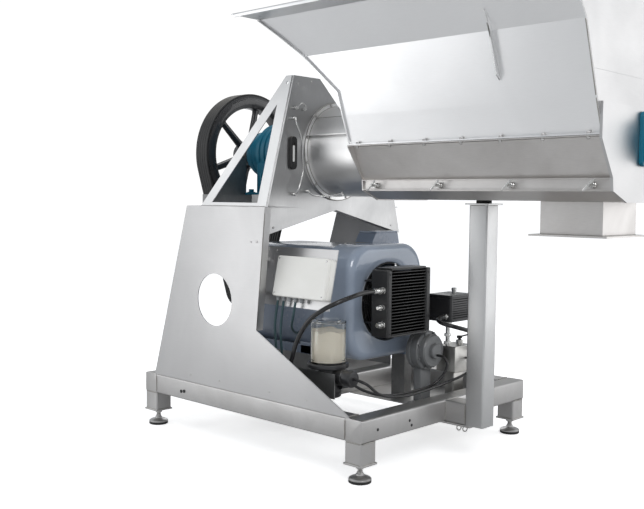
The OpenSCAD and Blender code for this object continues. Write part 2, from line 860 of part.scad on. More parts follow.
module grease_hoses() {
    color("black") {
        sweep([[69, -500, 424], [86, -500, 424], [130, -476, 404], [140, -390, 346], [118, -200, 308],
            [100, 0, 304], [100, 150, 316], [130, 280, 346], [150, 360, 384], [126, 398, 414],
            [98, 400, 420], [80.9, 400, 420]], 7, 6, 8);
        sweep([[-20, -437, 380], [-20, -418, 380], [4, -366, 346], [42, -280, 314], [55, -160, 302],
            [56, 0, 300], [72, 90, 312], [100, 144, 356], [112, 172, 412], [92, 176, 448],
            [66, 175, 455], [45.9, 175, 455]], 7, 6, 8);
    }
}

module reservoir() {
    color("white", 0.4)
    translate([-100, -500, 0]) {
        difference() {
            translate([0, 0, 484]) cylinder(r = 86, h = 200);
            translate([0, 0, 488]) cylinder(r = 82, h = 192);
        }
        translate([0, 0, 684]) cylinder(r = 60, h = 6);
    }
}

module grease() {
    color("wheat")
    translate([-100, -500, 488]) cylinder(r = 82, h = 160);
}

module grease_pump() {
    color("black") {
        translate([-100, -500, 456]) cylinder(r = 100, h = 28);
        translate([-90, -500, 322]) cylinder(r = 58, h = 134);
        translate([0, -500, 424]) cyl_x(40, -60, 68);
        translate([-20, 0, 380]) cyl_y(14, -500, -438);
    }
}

module grease_bracket() {
    color("silver") {
        translate([-290, -564, 330]) cube([290, 6, 118]);
        for (x = [-285, -225])
            translate([x, -half + sheet, 340]) cube([8, half - 564 - sheet, 40]);
    }
}

module tilted() {
    translate([0, -540, 875]) rotate([-box_tilt, 0, 0]) translate([0, 540, -875]) children();
}

module junction_plate() {
    color("silver") {
        tilted() {
            translate([-520, -544, 735]) cube([490, 4, 290]);
            translate([-520, -570, 735]) cube([4, 26, 290]);
        }
        translate([-512, -half + sheet, 790]) cube([20, half - 558 - sheet, 20]);
        translate([-512, -half + sheet, 950]) cube([20, half - 526 - sheet, 20]);
    }
}

module junction_box() {
    color("ivory")
    tilted() {
        translate([-372, -596, 778]) cube([342, 52, 198]);
        for (x = [-350, -310, -270, -230, -190])
            translate([x, -570, 760]) cylinder(r = 10, h = 18);
    }
}

module cables() {
    color("dimgray") {
        sweep([[-350, -593.5, 767.6], [-350, -597.7, 748], [-360, -604, 640], [-352, -602, 520],
            [-376, -596, 400], [-400, -590, 316], [-400, -590, 291.8]], 6, 6, 8);
        sweep([[-310, -593.5, 767.6], [-310, -597.7, 748], [-324, -600, 620], [-326, -590, 500],
            [-356, -585, 390], [-376, -586, 316], [-376, -586, 291.8]], 6, 6, 8);
        sweep([[-230, -593.5, 767.6], [-230, -597.7, 748], [-244, -596, 690], [-290, -556, 634],
            [-340, -470, 596], [-384, -370, 608], [-396, -302, 640], [-396, -281, 640]], 6, 6, 8);
    }
}

base_rails();
base_crosses();
legs();
feet();
foot_pads();
post_arm();
support_post();
post_pad();
side_panel_near();
side_panel_far();
tower_side_near();
tower_side_far();
front_plate();
drive_shelf();
bearing_housing();
motor_rails();
motor_body();
motor_box();
fan_cowl();
shaft_tube();
trough();
bar_cage();
end_plate();
end_bearing();
hopper();
joint_bolts();
bottom_pan();
oil_gauge();
lube_lines();
cooler_core();
cooler_case();
hose_fittings();
drip_tray();
pump_housing();
filter_box();
valve_block();
valve_lever();
cooler_hose();
return_hose();
grease_hoses();
reservoir();
grease();
grease_pump();
grease_bracket();
junction_box();
junction_plate();
cables();
drive_belt();
rotor_shaft();
big_pulley();
rotor_discs();
hammers_1();
hammers_2();
hammers_3();
motor_shaft();
motor_fan();
clamp_1();
clamp_2();
clamp_3();
clamp_4();
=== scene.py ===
import bmesh
import bpy
import math
import numpy as np
from mathutils import Matrix


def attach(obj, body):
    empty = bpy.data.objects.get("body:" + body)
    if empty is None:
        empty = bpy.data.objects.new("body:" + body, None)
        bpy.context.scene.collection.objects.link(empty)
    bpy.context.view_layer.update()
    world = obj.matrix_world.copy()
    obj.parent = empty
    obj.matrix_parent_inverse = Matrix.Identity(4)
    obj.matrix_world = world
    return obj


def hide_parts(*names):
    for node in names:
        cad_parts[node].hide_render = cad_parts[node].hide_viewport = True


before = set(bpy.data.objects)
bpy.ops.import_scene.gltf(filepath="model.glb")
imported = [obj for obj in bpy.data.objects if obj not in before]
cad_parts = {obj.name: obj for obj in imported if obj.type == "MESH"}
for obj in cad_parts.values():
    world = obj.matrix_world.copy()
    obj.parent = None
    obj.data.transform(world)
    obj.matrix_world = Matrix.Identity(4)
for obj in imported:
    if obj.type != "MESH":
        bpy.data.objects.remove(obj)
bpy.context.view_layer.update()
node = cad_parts

# ---------------------------------------------------------------- studio
# A white sweep of seamless paper under six soft boxes: a key at the discharge end, a fill, a front
# and a low light on the near side, one overhead and one behind.  The camera stands off the near
# corner at chest height.
camera_at = (2.82298, -3.63457, 1.26154)
camera_turn, camera_dip, camera_roll = (math.radians(a) for a in (43.459481, 3.515393, 0.609380))
ct, st, ce, se = math.cos(camera_turn), math.sin(camera_turn), math.cos(camera_dip), math.sin(camera_dip)
look = np.array((-st * ce, ct * ce, -se))
right = np.array((ct, st, 0.0))
up = np.cross(right, look)
right, up = (right * math.cos(camera_roll) + up * math.sin(camera_roll),
             -right * math.sin(camera_roll) + up * math.cos(camera_roll))
lens = bpy.data.cameras.new("camera")
lens.lens, lens.sensor_width, lens.clip_end = 50.716, 36.0, 60.0
camera = bpy.data.objects.new("camera", lens)
camera.matrix_world = Matrix([[right[i], up[i], -look[i], camera_at[i]] for i in range(3)] + [[0, 0, 0, 1]])
bpy.context.scene.collection.objects.link(camera)
bpy.context.scene.camera = camera
bpy.context.scene.view_settings.view_transform = "Standard"


def soft_box(name, place, aim, width, watts, tint=(1, 1, 1)):
    """A square studio light at place that shines towards aim."""
    lamp = bpy.data.lights.new(name, "AREA")
    lamp.size, lamp.energy, lamp.color = width, watts, tint
    holder = bpy.data.objects.new(name, lamp)
    back = np.subtract(place, aim)
    back = back / np.linalg.norm(back)
    side = np.cross((0, 0, 1), back)
    side = side / np.linalg.norm(side) if np.linalg.norm(side) > 1e-6 else np.array((1.0, 0, 0))
    over = np.cross(back, side)
    holder.matrix_world = Matrix([[side[i], over[i], back[i], place[i]] for i in range(3)] + [[0, 0, 0, 1]])
    bpy.context.scene.collection.objects.link(holder)
    return holder


for lamp_name, stand, target, width, watts in (
        ("key_light", (3.6, 3.9, 1.7), (-0.2, -0.2, 1.1), 3.9, 62),
        ("fill_light", (-4.3, -3.7, 2.7), (-0.5, -0.3, 1.2), 3.0, 28),
        ("front_light", (3.6, -2.6, 3.6), (-0.1, 0, 1.0), 1.8, 72),
        ("low_light", (-2.6, -3.4, 0.5), (0.4, -0.3, 1.8), 1.8, 16),
        ("top_light", (0.3, 0.4, 5.2), (0.3, 0.0, 1.0), 3.0, 90),
        ("back_light", (-4.2, 3.6, 2.6), (-0.3, 0, 1.1), 3.0, 18)):
    soft_box(lamp_name, stand, target, width, watts).visible_camera = False

studio = bpy.data.worlds.new("studio")
bpy.context.scene.world = studio
studio.use_nodes = True
air, wires = studio.node_tree.nodes, studio.node_tree.links
air.clear()
paper = air.new("ShaderNodeBackground")
paper.inputs["Color"].default_value = (1, 1, 1, 1)
paper.inputs["Strength"].default_value = 1.05
room = air.new("ShaderNodeBackground")
room.inputs["Color"].default_value = (0.93, 0.965, 1.0, 1)
room.inputs["Strength"].default_value = 0.54
ray = air.new("ShaderNodeLightPath")
pick = air.new("ShaderNodeMixShader")
sky = air.new("ShaderNodeOutputWorld")
wires.new(ray.outputs["Is Camera Ray"], pick.inputs[0])
wires.new(room.outputs[0], pick.inputs[1])
wires.new(paper.outputs[0], pick.inputs[2])
wires.new(pick.outputs[0], sky.inputs[0])


def surface(grid, wrap=True, lids=True, ring=False):
    """Corners and faces of a grid of points, rows by columns: each cell is one four-sided face,
    the columns close on themselves when wrap is true, and lids close the first and last row, or
    the last row meets the first when ring is true."""
    rows, cols = grid.shape[:2]
    r, c = np.meshgrid(np.arange(rows if ring else rows - 1),
                       np.arange(cols if wrap else cols - 1), indexing="ij")
    n, m = (c + 1) % cols, (r + 1) % rows
    quads = np.stack([r * cols + c, r * cols + n, m * cols + n, m * cols + c], -1)
    faces = quads.reshape(-1, 4).tolist()
    if lids and wrap and not ring:
        faces += [list(range(cols))[::-1], [(rows - 1) * cols + i for i in range(cols)]]
    return grid.reshape(-1, 3), faces


def make_piece(name, patches, body, finish, crease=32.0, stands_for=(), broken=0.0):
    """One mesh object from closed patches of (corners, faces), smooth except where two faces
    meet at more than crease degrees.  Sharp edges are broken by that many metres.  It rides on
    body and takes the finish it is given."""
    corners, faces, base = [], [], 0
    for points, cells in patches:
        points = np.asarray(points, float).reshape(-1, 3)
        corners.append(points)
        faces += [[base + i for i in cell] for cell in cells]
        base += len(points)
    mesh = bpy.data.meshes.new(name)
    mesh.from_pydata(np.concatenate(corners).tolist(), [], faces)
    mesh.validate()
    outward = bmesh.new()
    outward.from_mesh(mesh)
    bmesh.ops.recalc_face_normals(outward, faces=outward.faces)
    outward.to_mesh(mesh)
    outward.free()
    mesh.polygons.foreach_set("use_smooth", np.ones(len(mesh.polygons), bool))
    mesh.set_sharp_from_angle(angle=math.radians(crease))
    mesh.materials.append(finish)
    piece = bpy.data.objects.new(name, mesh)
    bpy.context.scene.collection.objects.link(piece)
    if broken:
        edge = piece.modifiers.new("broken_edges", "BEVEL")
        edge.width, edge.segments, edge.limit_method = broken, 2, "ANGLE"
        edge.angle_limit = math.radians(crease)
    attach(piece, body)
    if stands_for:
        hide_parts(*stands_for)
    return piece


# The floor is one sheet of white paper that curls up far behind the machine.
def paper_sweep(x, y):
    """Height is 0 out to 9 m behind the machine and then rises as a quarter circle."""
    back = np.clip(y - 9.0, 0, 6.0)
    return np.stack([x, y, 6.0 - np.sqrt(np.maximum(36.0 - back ** 2, 0))], -1)


ax, ay = np.meshgrid(np.linspace(-16, 16, 9), np.linspace(-14, 15, 30), indexing="ij")
sweep_points, sweep_faces = surface(paper_sweep(ax, ay), wrap=False)
floor_mesh = bpy.data.meshes.new("floor")
floor_mesh.from_pydata(sweep_points.tolist(), [], sweep_faces)
floor = bpy.data.objects.new("floor", floor_mesh)
bpy.context.scene.collection.objects.link(floor)
white_paper = bpy.data.materials.new("white_paper")
white_paper.use_nodes = True
coated, weave = white_paper.node_tree.nodes, white_paper.node_tree.links
coated.clear()
seen = coated.new("ShaderNodeBsdfDiffuse")
seen.inputs["Color"].default_value = (0.93, 0.93, 0.93, 1)
glow = coated.new("ShaderNodeEmission")
glow.inputs["Strength"].default_value = 0.62
lit = coated.new("ShaderNodeAddShader")
bounced = coated.new("ShaderNodeBsdfDiffuse")
bounced.inputs["Color"].default_value = (0.68, 0.68, 0.68, 1)
ray = coated.new("ShaderNodeLightPath")
pick = coated.new("ShaderNodeMixShader")
top_coat = coated.new("ShaderNodeOutputMaterial")
weave.new(seen.outputs[0], lit.inputs[0])
weave.new(glow.outputs[0], lit.inputs[1])
weave.new(ray.outputs["Is Camera Ray"], pick.inputs[0])
weave.new(bounced.outputs[0], pick.inputs[1])
weave.new(lit.outputs[0], pick.inputs[2])
weave.new(pick.outputs[0], top_coat.inputs[0])
floor_mesh.materials.append(white_paper)


def finish(name, light, dark, rough, metal=0.0, grain=(1, 1, 1), grain_size=60.0, depth=0.0004,
           cloud_size=2.2, cloud=0.5, rough_swing=0.1, dust=0.0, coat=0.0, spec=0.5,
           grit=0.0):
    """A shop finish.  Fine noise stretched along the grain makes the brushing or the cast skin,
    broad noise clouds the colour between light and dark, and it all moves the roughness too."""
    made = bpy.data.materials.new(name)
    made.use_nodes = True
    tree = made.node_tree
    shade = tree.nodes["Principled BSDF"]
    shade.inputs["Metallic"].default_value = metal
    shade.inputs["Coat Weight"].default_value = coat
    shade.inputs["Specular IOR Level"].default_value = spec

    def add(kind, **values):
        made_node = tree.nodes.new(kind)
        for key, value in values.items():
            if hasattr(made_node, key):
                setattr(made_node, key, value)
            else:
                made_node.inputs[key.replace("_", " ")].default_value = value
        return made_node

    def wire(a, b, out=0):
        tree.links.new(a.outputs[out], b)

    place = add("ShaderNodeTexCoord")
    stretch = add("ShaderNodeMapping")
    stretch.inputs["Scale"].default_value = grain
    wire(place, stretch.inputs["Vector"], 3)
    fine = add("ShaderNodeTexNoise", Scale=grain_size, Detail=5.0, Roughness=0.62)
    wire(stretch, fine.inputs["Vector"])
    broad = add("ShaderNodeTexNoise", Scale=cloud_size, Detail=4.0, Roughness=0.55, Distortion=0.6)
    wire(place, broad.inputs["Vector"], 3)
    # share of dark = clouds and grain together
    both = add("ShaderNodeMath", operation="MULTIPLY_ADD")
    wire(fine, both.inputs[0])
    both.inputs[1].default_value = 0.35 + grit
    wire(broad, both.inputs[2])
    share = add("ShaderNodeMapRange")
    share.inputs["From Min"].default_value = 0.45
    share.inputs["From Max"].default_value = 0.95 + grit
    share.inputs["To Min"].default_value = 0.0
    share.inputs["To Max"].default_value = cloud
    wire(both, share.inputs["Value"])
    tone = add("ShaderNodeMix", data_type="RGBA")
    tone.inputs[6].default_value = (*light, 1)
    tone.inputs[7].default_value = (*dark, 1)
    wire(share, tone.inputs[0])
    last = tone
    if dust:
        up_face = add("ShaderNodeNewGeometry")
        parts = add("ShaderNodeSeparateXYZ")
        wire(up_face, parts.inputs[0], 1)
        lying = add("ShaderNodeMapRange")
        lying.inputs["From Min"].default_value = 0.5
        lying.inputs["To Max"].default_value = dust
        wire(parts, lying.inputs["Value"], 2)
        patchy = add("ShaderNodeMath", operation="MULTIPLY")
        wire(lying, patchy.inputs[0])
        wire(broad, patchy.inputs[1])
        dusty = add("ShaderNodeMix", data_type="RGBA")
        tree.links.new(last.outputs[2], dusty.inputs[6])
        dusty.inputs[7].default_value = (0.62, 0.57, 0.48, 1)
        wire(patchy, dusty.inputs[0])
        last = dusty
    tree.links.new(last.outputs[2], shade.inputs["Base Color"])
    matt = add("ShaderNodeMapRange")
    matt.inputs["To Min"].default_value = max(0.04, rough - rough_swing)
    matt.inputs["To Max"].default_value = min(1.0, rough + rough_swing)
    wire(both, matt.inputs["Value"])
    wire(matt, shade.inputs["Roughness"])
    relief = add("ShaderNodeBump", Strength=0.6, Distance=depth)
    wire(fine, relief.inputs["Height"])
    wire(relief, shade.inputs["Normal"])
    return made


# ---------------------------------------------------------------- hoses and cables
# Black rubber hose with a smooth extruded cover, and grey PVC sheathed cable.  Each runs from one
# fitting of the machine to another, so none has a loose end; the routes are the CAD's, in metres.
def eased(route, steps):
    """A smooth line through the route: between two points the line follows the cubic that has the
    chord of each point's neighbours as its slope there."""
    p = np.asarray(route, float) / 1000.0
    before = np.concatenate([p[:1], p[:-2]])
    after = np.concatenate([p[2:], p[-1:]])
    t = np.linspace(0, 1, steps, endpoint=False)[None, :, None]
    a, b, c, d = before[:, None], p[:-1, None], p[1:, None], after[:, None]
    line = 0.5 * (2 * b + (c - a) * t + (2 * a - 5 * b + 4 * c - d) * t ** 2
                  + (3 * b - a - 3 * c + d) * t ** 3)
    return np.concatenate([line.reshape(-1, 3), p[-1:]])


def carried_ring(line, radius, sides=14):
    """A round section carried along a line: each ring is turned by no more than the line turns.
    radius may be one number or one for each point of the line."""
    line = np.asarray(line, float)
    slope = np.gradient(line, axis=0)
    slope /= np.linalg.norm(slope, axis=1)[:, None]
    side = np.empty_like(line)
    guess = np.cross(slope[0], (0, 0, 1.0))
    if np.linalg.norm(guess) < 0.2:
        guess = np.cross(slope[0], (1.0, 0, 0))
    for i, s in enumerate(slope):
        guess = guess - s * np.dot(guess, s)
        guess = guess / np.linalg.norm(guess)
        side[i] = guess
    over = np.cross(slope, side)
    turn = np.linspace(0, 2 * math.pi, sides, endpoint=False)
    spread = np.broadcast_to(np.asarray(radius, float), (len(line),))[:, None, None]
    return line[:, None] + spread * (np.cos(turn)[None, :, None] * side[:, None]
                                     + np.sin(turn)[None, :, None] * over[:, None])


hose_rubber = finish("hose_rubber", (0.012, 0.012, 0.013), (0.03, 0.03, 0.032), 0.26, grain=(1, 1, 1),
                     grain_size=180, depth=0.0002, cloud_size=9, coat=0.15, dust=0.10)
cable_sheath = finish("cable_sheath", (0.03, 0.075, 0.085), (0.012, 0.03, 0.036), 0.42,
                      grain_size=240, depth=0.0002, cloud_size=12)


def lay_cord(name, route, radius, node_name, skin, steps=10, sides=14, alone=True):
    """A hose or cable of that radius along the route."""
    line = eased(route, steps)
    piece = make_piece(name, [surface(carried_ring(line, radius, sides))], "frame", skin, 60,
                       (node_name,))
    return line


lay_cord("cooler_hose_skin", [[14, -276.8, 818], [14, -306, 818], [22, -400, 816],
         [30, -480, 806], [6, -556, 782], [-50, -600, 744], [-120, -616, 690], [-186, -618, 600],
         [-228, -616, 500], [-250, -614, 410], [-252, -612, 330], [-252, -612, 291.8]],
         0.011, "cooler_hose", hose_rubber)
lay_cord("return_hose_skin", [[84, 175.2, 660], [84, 152, 660], [104, 96, 655], [158, 64, 644],
         [214, 98, 628], [240, 190, 600], [236, 320, 556], [200, 440, 506], [124, 540, 452],
         [54, 568, 422], [20, 536, 415], [20, 491, 415]],
         0.011, "return_hose", hose_rubber)
lay_cord("grease_hose_a", [[69, -500, 424], [86, -500, 424], [130, -476, 404], [140, -390, 346],
         [118, -200, 308], [100, 0, 304], [100, 150, 316], [130, 280, 346], [150, 360, 384],
         [126, 398, 414], [98, 400, 420], [80.9, 400, 420]],
         0.007, "grease_hoses", hose_rubber)
lay_cord("grease_hose_b", [[-20, -437, 380], [-20, -418, 380], [4, -366, 346], [42, -280, 314],
         [55, -160, 302], [56, 0, 300], [72, 90, 312], [100, 144, 356], [112, 172, 412],
         [92, 176, 448], [66, 175, 455], [45.9, 175, 455]],
         0.007, "grease_hoses", hose_rubber)
lay_cord("box_cable_a", [[-350, -593.5, 767.6], [-350, -597.7, 748], [-360, -604, 640],
         [-352, -602, 520], [-376, -596, 400], [-400, -590, 316], [-400, -590, 291.8]],
         0.006, "cables", cable_sheath)
lay_cord("box_cable_b", [[-310, -593.5, 767.6], [-310, -597.7, 748], [-324, -600, 620],
         [-326, -590, 500], [-356, -585, 390], [-376, -586, 316], [-376, -586, 291.8]],
         0.006, "cables", cable_sheath)
lay_cord("box_cable_c", [[-230, -593.5, 767.6], [-230, -597.7, 748], [-244, -596, 690],
         [-290, -556, 634], [-340, -470, 596], [-384, -370, 608], [-396, -302, 640],
         [-396, -281, 640]], 0.006, "cables", cable_sheath)

# ---------------------------------------------------------------- base frame
# Square hollow section, 100 by 105 by 5, drawn with rounded corners, cut square and MIG welded
# into a ladder with two cross beams.  Stainless, bead blasted, wiped but marked by handling.
def rounded_ring(half_a, half_b, corner, arc=5):
    """Points of a rectangle, 2 half_a by 2 half_b, whose corners are quarter circles."""
    turn = np.linspace(0, math.pi / 2, arc)
    round_off = np.stack([np.cos(turn), np.sin(turn)], -1) * corner
    ring = []
    for quarter, (sa, sb) in enumerate(((1, 1), (-1, 1), (-1, -1), (1, -1))):
        c, s = (1, 0, -1, 0)[quarter], (0, 1, 0, -1)[quarter]
        turned = np.stack([c * round_off[:, 0] - s * round_off[:, 1],
                           s * round_off[:, 0] + c * round_off[:, 1]], -1)
        ring.append(turned + (sa * (half_a - corner), sb * (half_b - corner)))
    return np.concatenate(ring)


def boxed(lo, hi, corner, edge=0.0, axis=2, steps=4):
    """A bar or case from corner lo to corner hi in millimetres: a rounded rectangle across axis,
    carried along it, and drawn in by a quarter circle of radius edge at both ends."""
    lo, hi = np.minimum(lo, hi) / 1000.0, np.maximum(lo, hi) / 1000.0
    a, b = [(1, 2), (2, 0), (0, 1)][axis]
    corner, edge = corner / 1000.0, edge / 1000.0
    turn = np.linspace(0, math.pi / 2, steps) if edge else np.array([math.pi / 2])
    inset = edge * (1 - np.sin(turn))
    along = edge * (1 - np.cos(turn))
    stations = np.concatenate([lo[axis] + along, (hi[axis] - along)[::-1]])
    insets = np.concatenate([inset, inset[::-1]])
    half_a, half_b = (hi[a] - lo[a]) / 2, (hi[b] - lo[b]) / 2
    rows = []
    for place, draw in zip(stations, insets):
        ring = rounded_ring(half_a - draw, half_b - draw, max(corner - draw, corner * 0.2))
        row = np.empty((len(ring), 3))
        row[:, axis] = place
        row[:, a], row[:, b] = ring[:, 0] + (hi[a] + lo[a]) / 2, ring[:, 1] + (hi[b] + lo[b]) / 2
        rows.append(row)
    return surface(np.stack(rows))


def weld_bead(route, size=4.0, pitch=5.0):
    """A weld along straight runs between the points, in millimetres: a round bead whose radius
    rises and falls by a fifth once in each pitch, as the puddle froze in scales."""
    patches = []
    for start, end in zip(route[:-1], route[1:]):
        start, end = np.array(start, float), np.array(end, float)
        run = np.linalg.norm(end - start)
        t = np.linspace(0, 1, max(6, int(run / pitch * 3)))
        swell = 1 + 0.2 * np.abs(np.sin(math.pi * t * run / pitch))
        swell *= np.clip(np.minimum(t, 1 - t) * run / 4.0 + 0.3, 0, 1)
        patches.append(surface(carried_ring((start + t[:, None] * (end - start)) / 1000.0,
                                            size * swell / 1000.0, 6)))
    return patches


blasted_steel = finish("blasted_steel", (0.62, 0.61, 0.605), (0.45, 0.44, 0.43), 0.38, 1.0,
                       grain=(1.2, 14, 14), grain_size=42, depth=0.00025, cloud_size=3.4, cloud=0.7,
                       dust=0.25, rough_swing=0.12)
base_x0, base_x1, base_half, rail_low, rail_top, bar_w = -1329, 264, 670, 186, 291, 100
make_piece("rail_tubes", [boxed((base_x0 + bar_w, y, rail_low), (base_x1 - bar_w, y + bar_w, rail_top), 9,
                                axis=0)
                          for y in (-base_half, base_half - bar_w)],
           "frame", blasted_steel, stands_for=("base_rails",))
make_piece("cross_tubes",
           [boxed((x, -base_half, rail_low), (x + bar_w, base_half, rail_top), 9, 1.2, axis=1)
            for x in (base_x0, base_x1 - bar_w)]
           + [boxed((x, -base_half + bar_w, rail_low), (x + bar_w, base_half - bar_w, rail_top), 9, axis=1)
              for x in (-1100, -590)],
           "frame", blasted_steel, stands_for=("base_crosses",))
make_piece("leg_tubes",
           [boxed((x, y, 90), (x + bar_w, y + bar_w, rail_low), 9, axis=2)
            for x in (base_x0, base_x1 - bar_w) for y in (-base_half, base_half - bar_w)]
           + [boxed((x - 55, y - 55, 82), (x + 55, y + 55, 90), 4, 0.8, axis=2)
              for x in (base_x0 + 50, base_x1 - 50) for y in (-620, 620)],
           "frame", blasted_steel, stands_for=("legs",))
make_piece("arm_tube", [boxed((264, -50, rail_low), (378, 50, rail_top), 9, axis=0),
                        boxed((178, -50, 176), (406, 50, 186), 3, 0.8, axis=2)],
           "frame", blasted_steel, stands_for=("post_arm",))
loops = []
for x in (335, 370):
    turn = np.linspace(0, 2 * math.pi, 33)[:-1]
    ring = np.stack([x + 12 * np.cos(turn), -34 + 4 * np.sin(turn), 271 - 105 + 12 * np.sin(turn)], -1)
    around = carried_ring(np.concatenate([ring, ring[:1]]) / 1000.0, 0.003, 8)[:-1]
    loops.append(surface(around, ring=True, lids=False))
make_piece("arm_loops", loops, "frame", blasted_steel)
post_steel = finish("post_steel", (0.68, 0.68, 0.68), (0.52, 0.52, 0.52), 0.36, 1.0,
                    grain=(16, 16, 1), grain_size=40, depth=0.0002, cloud_size=2.6, cloud=0.5,
                    dust=0.2)
make_piece("post_tube", [boxed((378, -50, rail_low), (478, 50, 1240), 9, 1.0, axis=2),
                         boxed((363, -65, 1240), (493, 65, 1248), 5, 0.8, axis=2)],
           "frame", post_steel, stands_for=("support_post",))

weld_metal = finish("weld_metal", (0.50, 0.49, 0.47), (0.24, 0.22, 0.20), 0.42, 1.0,
                    grain_size=160, depth=0.0005, cloud_size=14, cloud=0.8)
beads = []
for x in (base_x0 + bar_w, base_x1 - bar_w):
    for y in (-base_half, base_half):
        beads += weld_bead([(x, y, rail_low + 8), (x, y, rail_top - 8)], 3.0)
        beads += weld_bead([(x, y - math.copysign(8, y), rail_top),
                            (x, y - math.copysign(bar_w - 6, y), rail_top)], 3.0)
for x in (-1100, -1000, -590, -490):
    for y in (-base_half + bar_w, base_half - bar_w):
        beads += weld_bead([(x, y, rail_low + 8), (x, y, rail_top - 8)], 3.2)
for x in (base_x0, base_x0 + bar_w, base_x1 - bar_w, base_x1):
    for y in (-base_half, base_half - bar_w):
        beads += weld_bead([(x, y + 8, rail_low), (x, y + bar_w - 8, rail_low)], 3.0)
for x in (base_x0, base_x1 - bar_w):
    for y in (-base_half, -base_half + bar_w, base_half - bar_w, base_half):
        beads += weld_bead([(x + 8, y, rail_low), (x + bar_w - 8, y, rail_low)], 3.0)
for x in (264, 378):
    for y in (-50, 50):
        beads += weld_bead([(x, y, rail_low + 8), (x, y, rail_top - 8)], 3.4)
    beads += weld_bead([(x, -42, rail_top), (x, 42, rail_top)], 3.4)
for x in (base_x0 + 50, base_x1 - 50):
    for y in (-620, 620):
        for side in (-1, 1):
            beads += weld_bead([(x - 42, y + 50 * side, 90), (x + 42, y + 50 * side, 90)], 3.0)
            beads += weld_bead([(x + 50 * side, y - 42, 90), (x + 50 * side, y + 42, 90)], 3.0)
for side in (-1, 1):
    beads += weld_bead([(386, 50 * side, 1240), (470, 50 * side, 1240)], 3.0)
    beads += weld_bead([(428 + 50 * side, -42, 1240), (428 + 50 * side, 42, 1240)], 3.0)
make_piece("frame_welds", beads, "frame", weld_metal, 60)

# Small plugs and drain holes in the rails: black caps pushed into punched holes.
plug_black = finish("plug_black", (0.015, 0.015, 0.015), (0.035, 0.035, 0.035), 0.5, grain_size=150,
                    depth=0.0002)


def turned(profile, centre, axis=2, sides=32):
    """A turned part: the profile's (radius, height) pairs, in millimetres, swept once round the
    axis that stands on centre.  A radius of 0 is closed by a small flat at the pole."""
    r, h = (np.asarray(profile, float) / 1000.0).T
    r = np.maximum(r, 2e-5)
    turn = np.linspace(0, 2 * math.pi, sides, endpoint=False)
    grid = np.empty((len(r), sides, 3))
    a, b = [(1, 2), (2, 0), (0, 1)][axis]
    grid[..., axis] = h[:, None]
    grid[..., a] = r[:, None] * np.cos(turn)
    grid[..., b] = r[:, None] * np.sin(turn)
    return surface(grid + np.asarray(centre, float) / 1000.0)


make_piece("rail_plugs",
           [turned([(0, 0.4), (7, 0.4), (9, -0.6), (9, -2)], (x, -base_half - 0.6, z), 1, 20)
            for x, z in ((-1010, 228), (-985, 232))]
           + [turned([(0, 2), (6, 2), (7, 1), (7, -1)], (base_x1, y, z), 0, 20)
              for y, z in ((-560, 236), (-330, 238), (-315, 214))],
           "frame", plug_black)

# ---------------------------------------------------------------- levelling feet
# Machined stainless foot, a spindle with rolled thread, a jam nut under the leg plate and a
# vulcanised rubber sole with moulded rings.
def threaded(radius, low, high, centre, pitch=3.0, sides=20):
    """A screw thread: radius rises and falls by a twelfth along a helix of that pitch."""
    rows = int((high - low) / pitch * 5)
    h = np.linspace(low, high, rows)[:, None]
    turn = np.linspace(0, 2 * math.pi, sides, endpoint=False)[None]
    wave = np.abs(((h / pitch - turn / (2 * math.pi)) % 1.0) - 0.5) * 2
    r = radius * (0.90 + 0.10 * wave)
    grid = np.stack([r * np.cos(turn), r * np.sin(turn), h + 0 * turn], -1)
    return surface((grid + np.asarray(centre, float)) / 1000.0)


def hexagon(across, low, high, centre, axis=2, chamfer=0.12):
    """A hexagon nut or bolt head: six flats, and both ends cut back by a cone at the corners."""
    r = across / math.sqrt(3)
    turn = np.linspace(0, 2 * math.pi, 36, endpoint=False)
    flat = (across / 2) / np.cos((turn + math.pi / 6) % (math.pi / 3) - math.pi / 6)
    cone = np.minimum(flat, across / 2 * 1.01)
    drop = (high - low) * chamfer
    rows = [(cone, low), (flat, low + drop), (flat, high - drop), (cone, high)]
    a, b = [(1, 2), (2, 0), (0, 1)][axis]
    grid = np.empty((4, 36, 3))
    for i, (ring, h) in enumerate(rows):
        grid[i, :, axis] = h
        grid[i, :, a], grid[i, :, b] = ring * np.cos(turn), ring * np.sin(turn)
    return surface((grid + np.asarray(centre, float)) / 1000.0)


machined = finish("machined_steel", (0.66, 0.65, 0.64), (0.42, 0.41, 0.40), 0.28, 1.0,
                  grain=(1, 1, 30), grain_size=26, depth=0.0001, cloud_size=16, cloud=0.7)
foot_profile = [(0, 14), (52, 14), (52, 19), (50, 21.5), (42, 26), (22, 30.5), (19, 33), (18, 40),
                (12.5, 41), (12.5, 44)]
feet, soles = [], []
for x in (base_x0 + 50, base_x1 - 50):
    for y in (-620, 620):
        feet.append(turned(foot_profile + [(0, 44)], (x, y, 0), 2, 48))
        feet.append(threaded(12, 42, 98, (x, y, 0)))
        feet.append(hexagon(36, 64, 81, (x, y, 0)))
        feet.append(hexagon(26, 40, 48, (x, y, 0)))
        soles.append(turned([(0, 0), (48, 0), (51, 2), (52, 4), (51.2, 6), (52, 8), (51.2, 10),
                             (52, 12), (51, 14), (0, 14)], (x, y, 0), 2, 48))
make_piece("foot_spindles", feet, "frame", machined, 30, ("feet",))
sole_rubber = finish("sole_rubber", (0.014, 0.014, 0.015), (0.04, 0.038, 0.035), 0.62, grain_size=120,
                     depth=0.0004, cloud_size=20, dust=0.3)
make_piece("foot_soles", soles, "frame", sole_rubber, 40, ("foot_pads",))
make_piece("post_cushion", [turned([(0, 1248), (35, 1248), (36, 1250), (37, 1255), (36, 1260),
                                    (35, 1262), (0, 1262)], (428, 0, 0), 2, 40)],
           "frame", sole_rubber, 40, ("post_pad",))

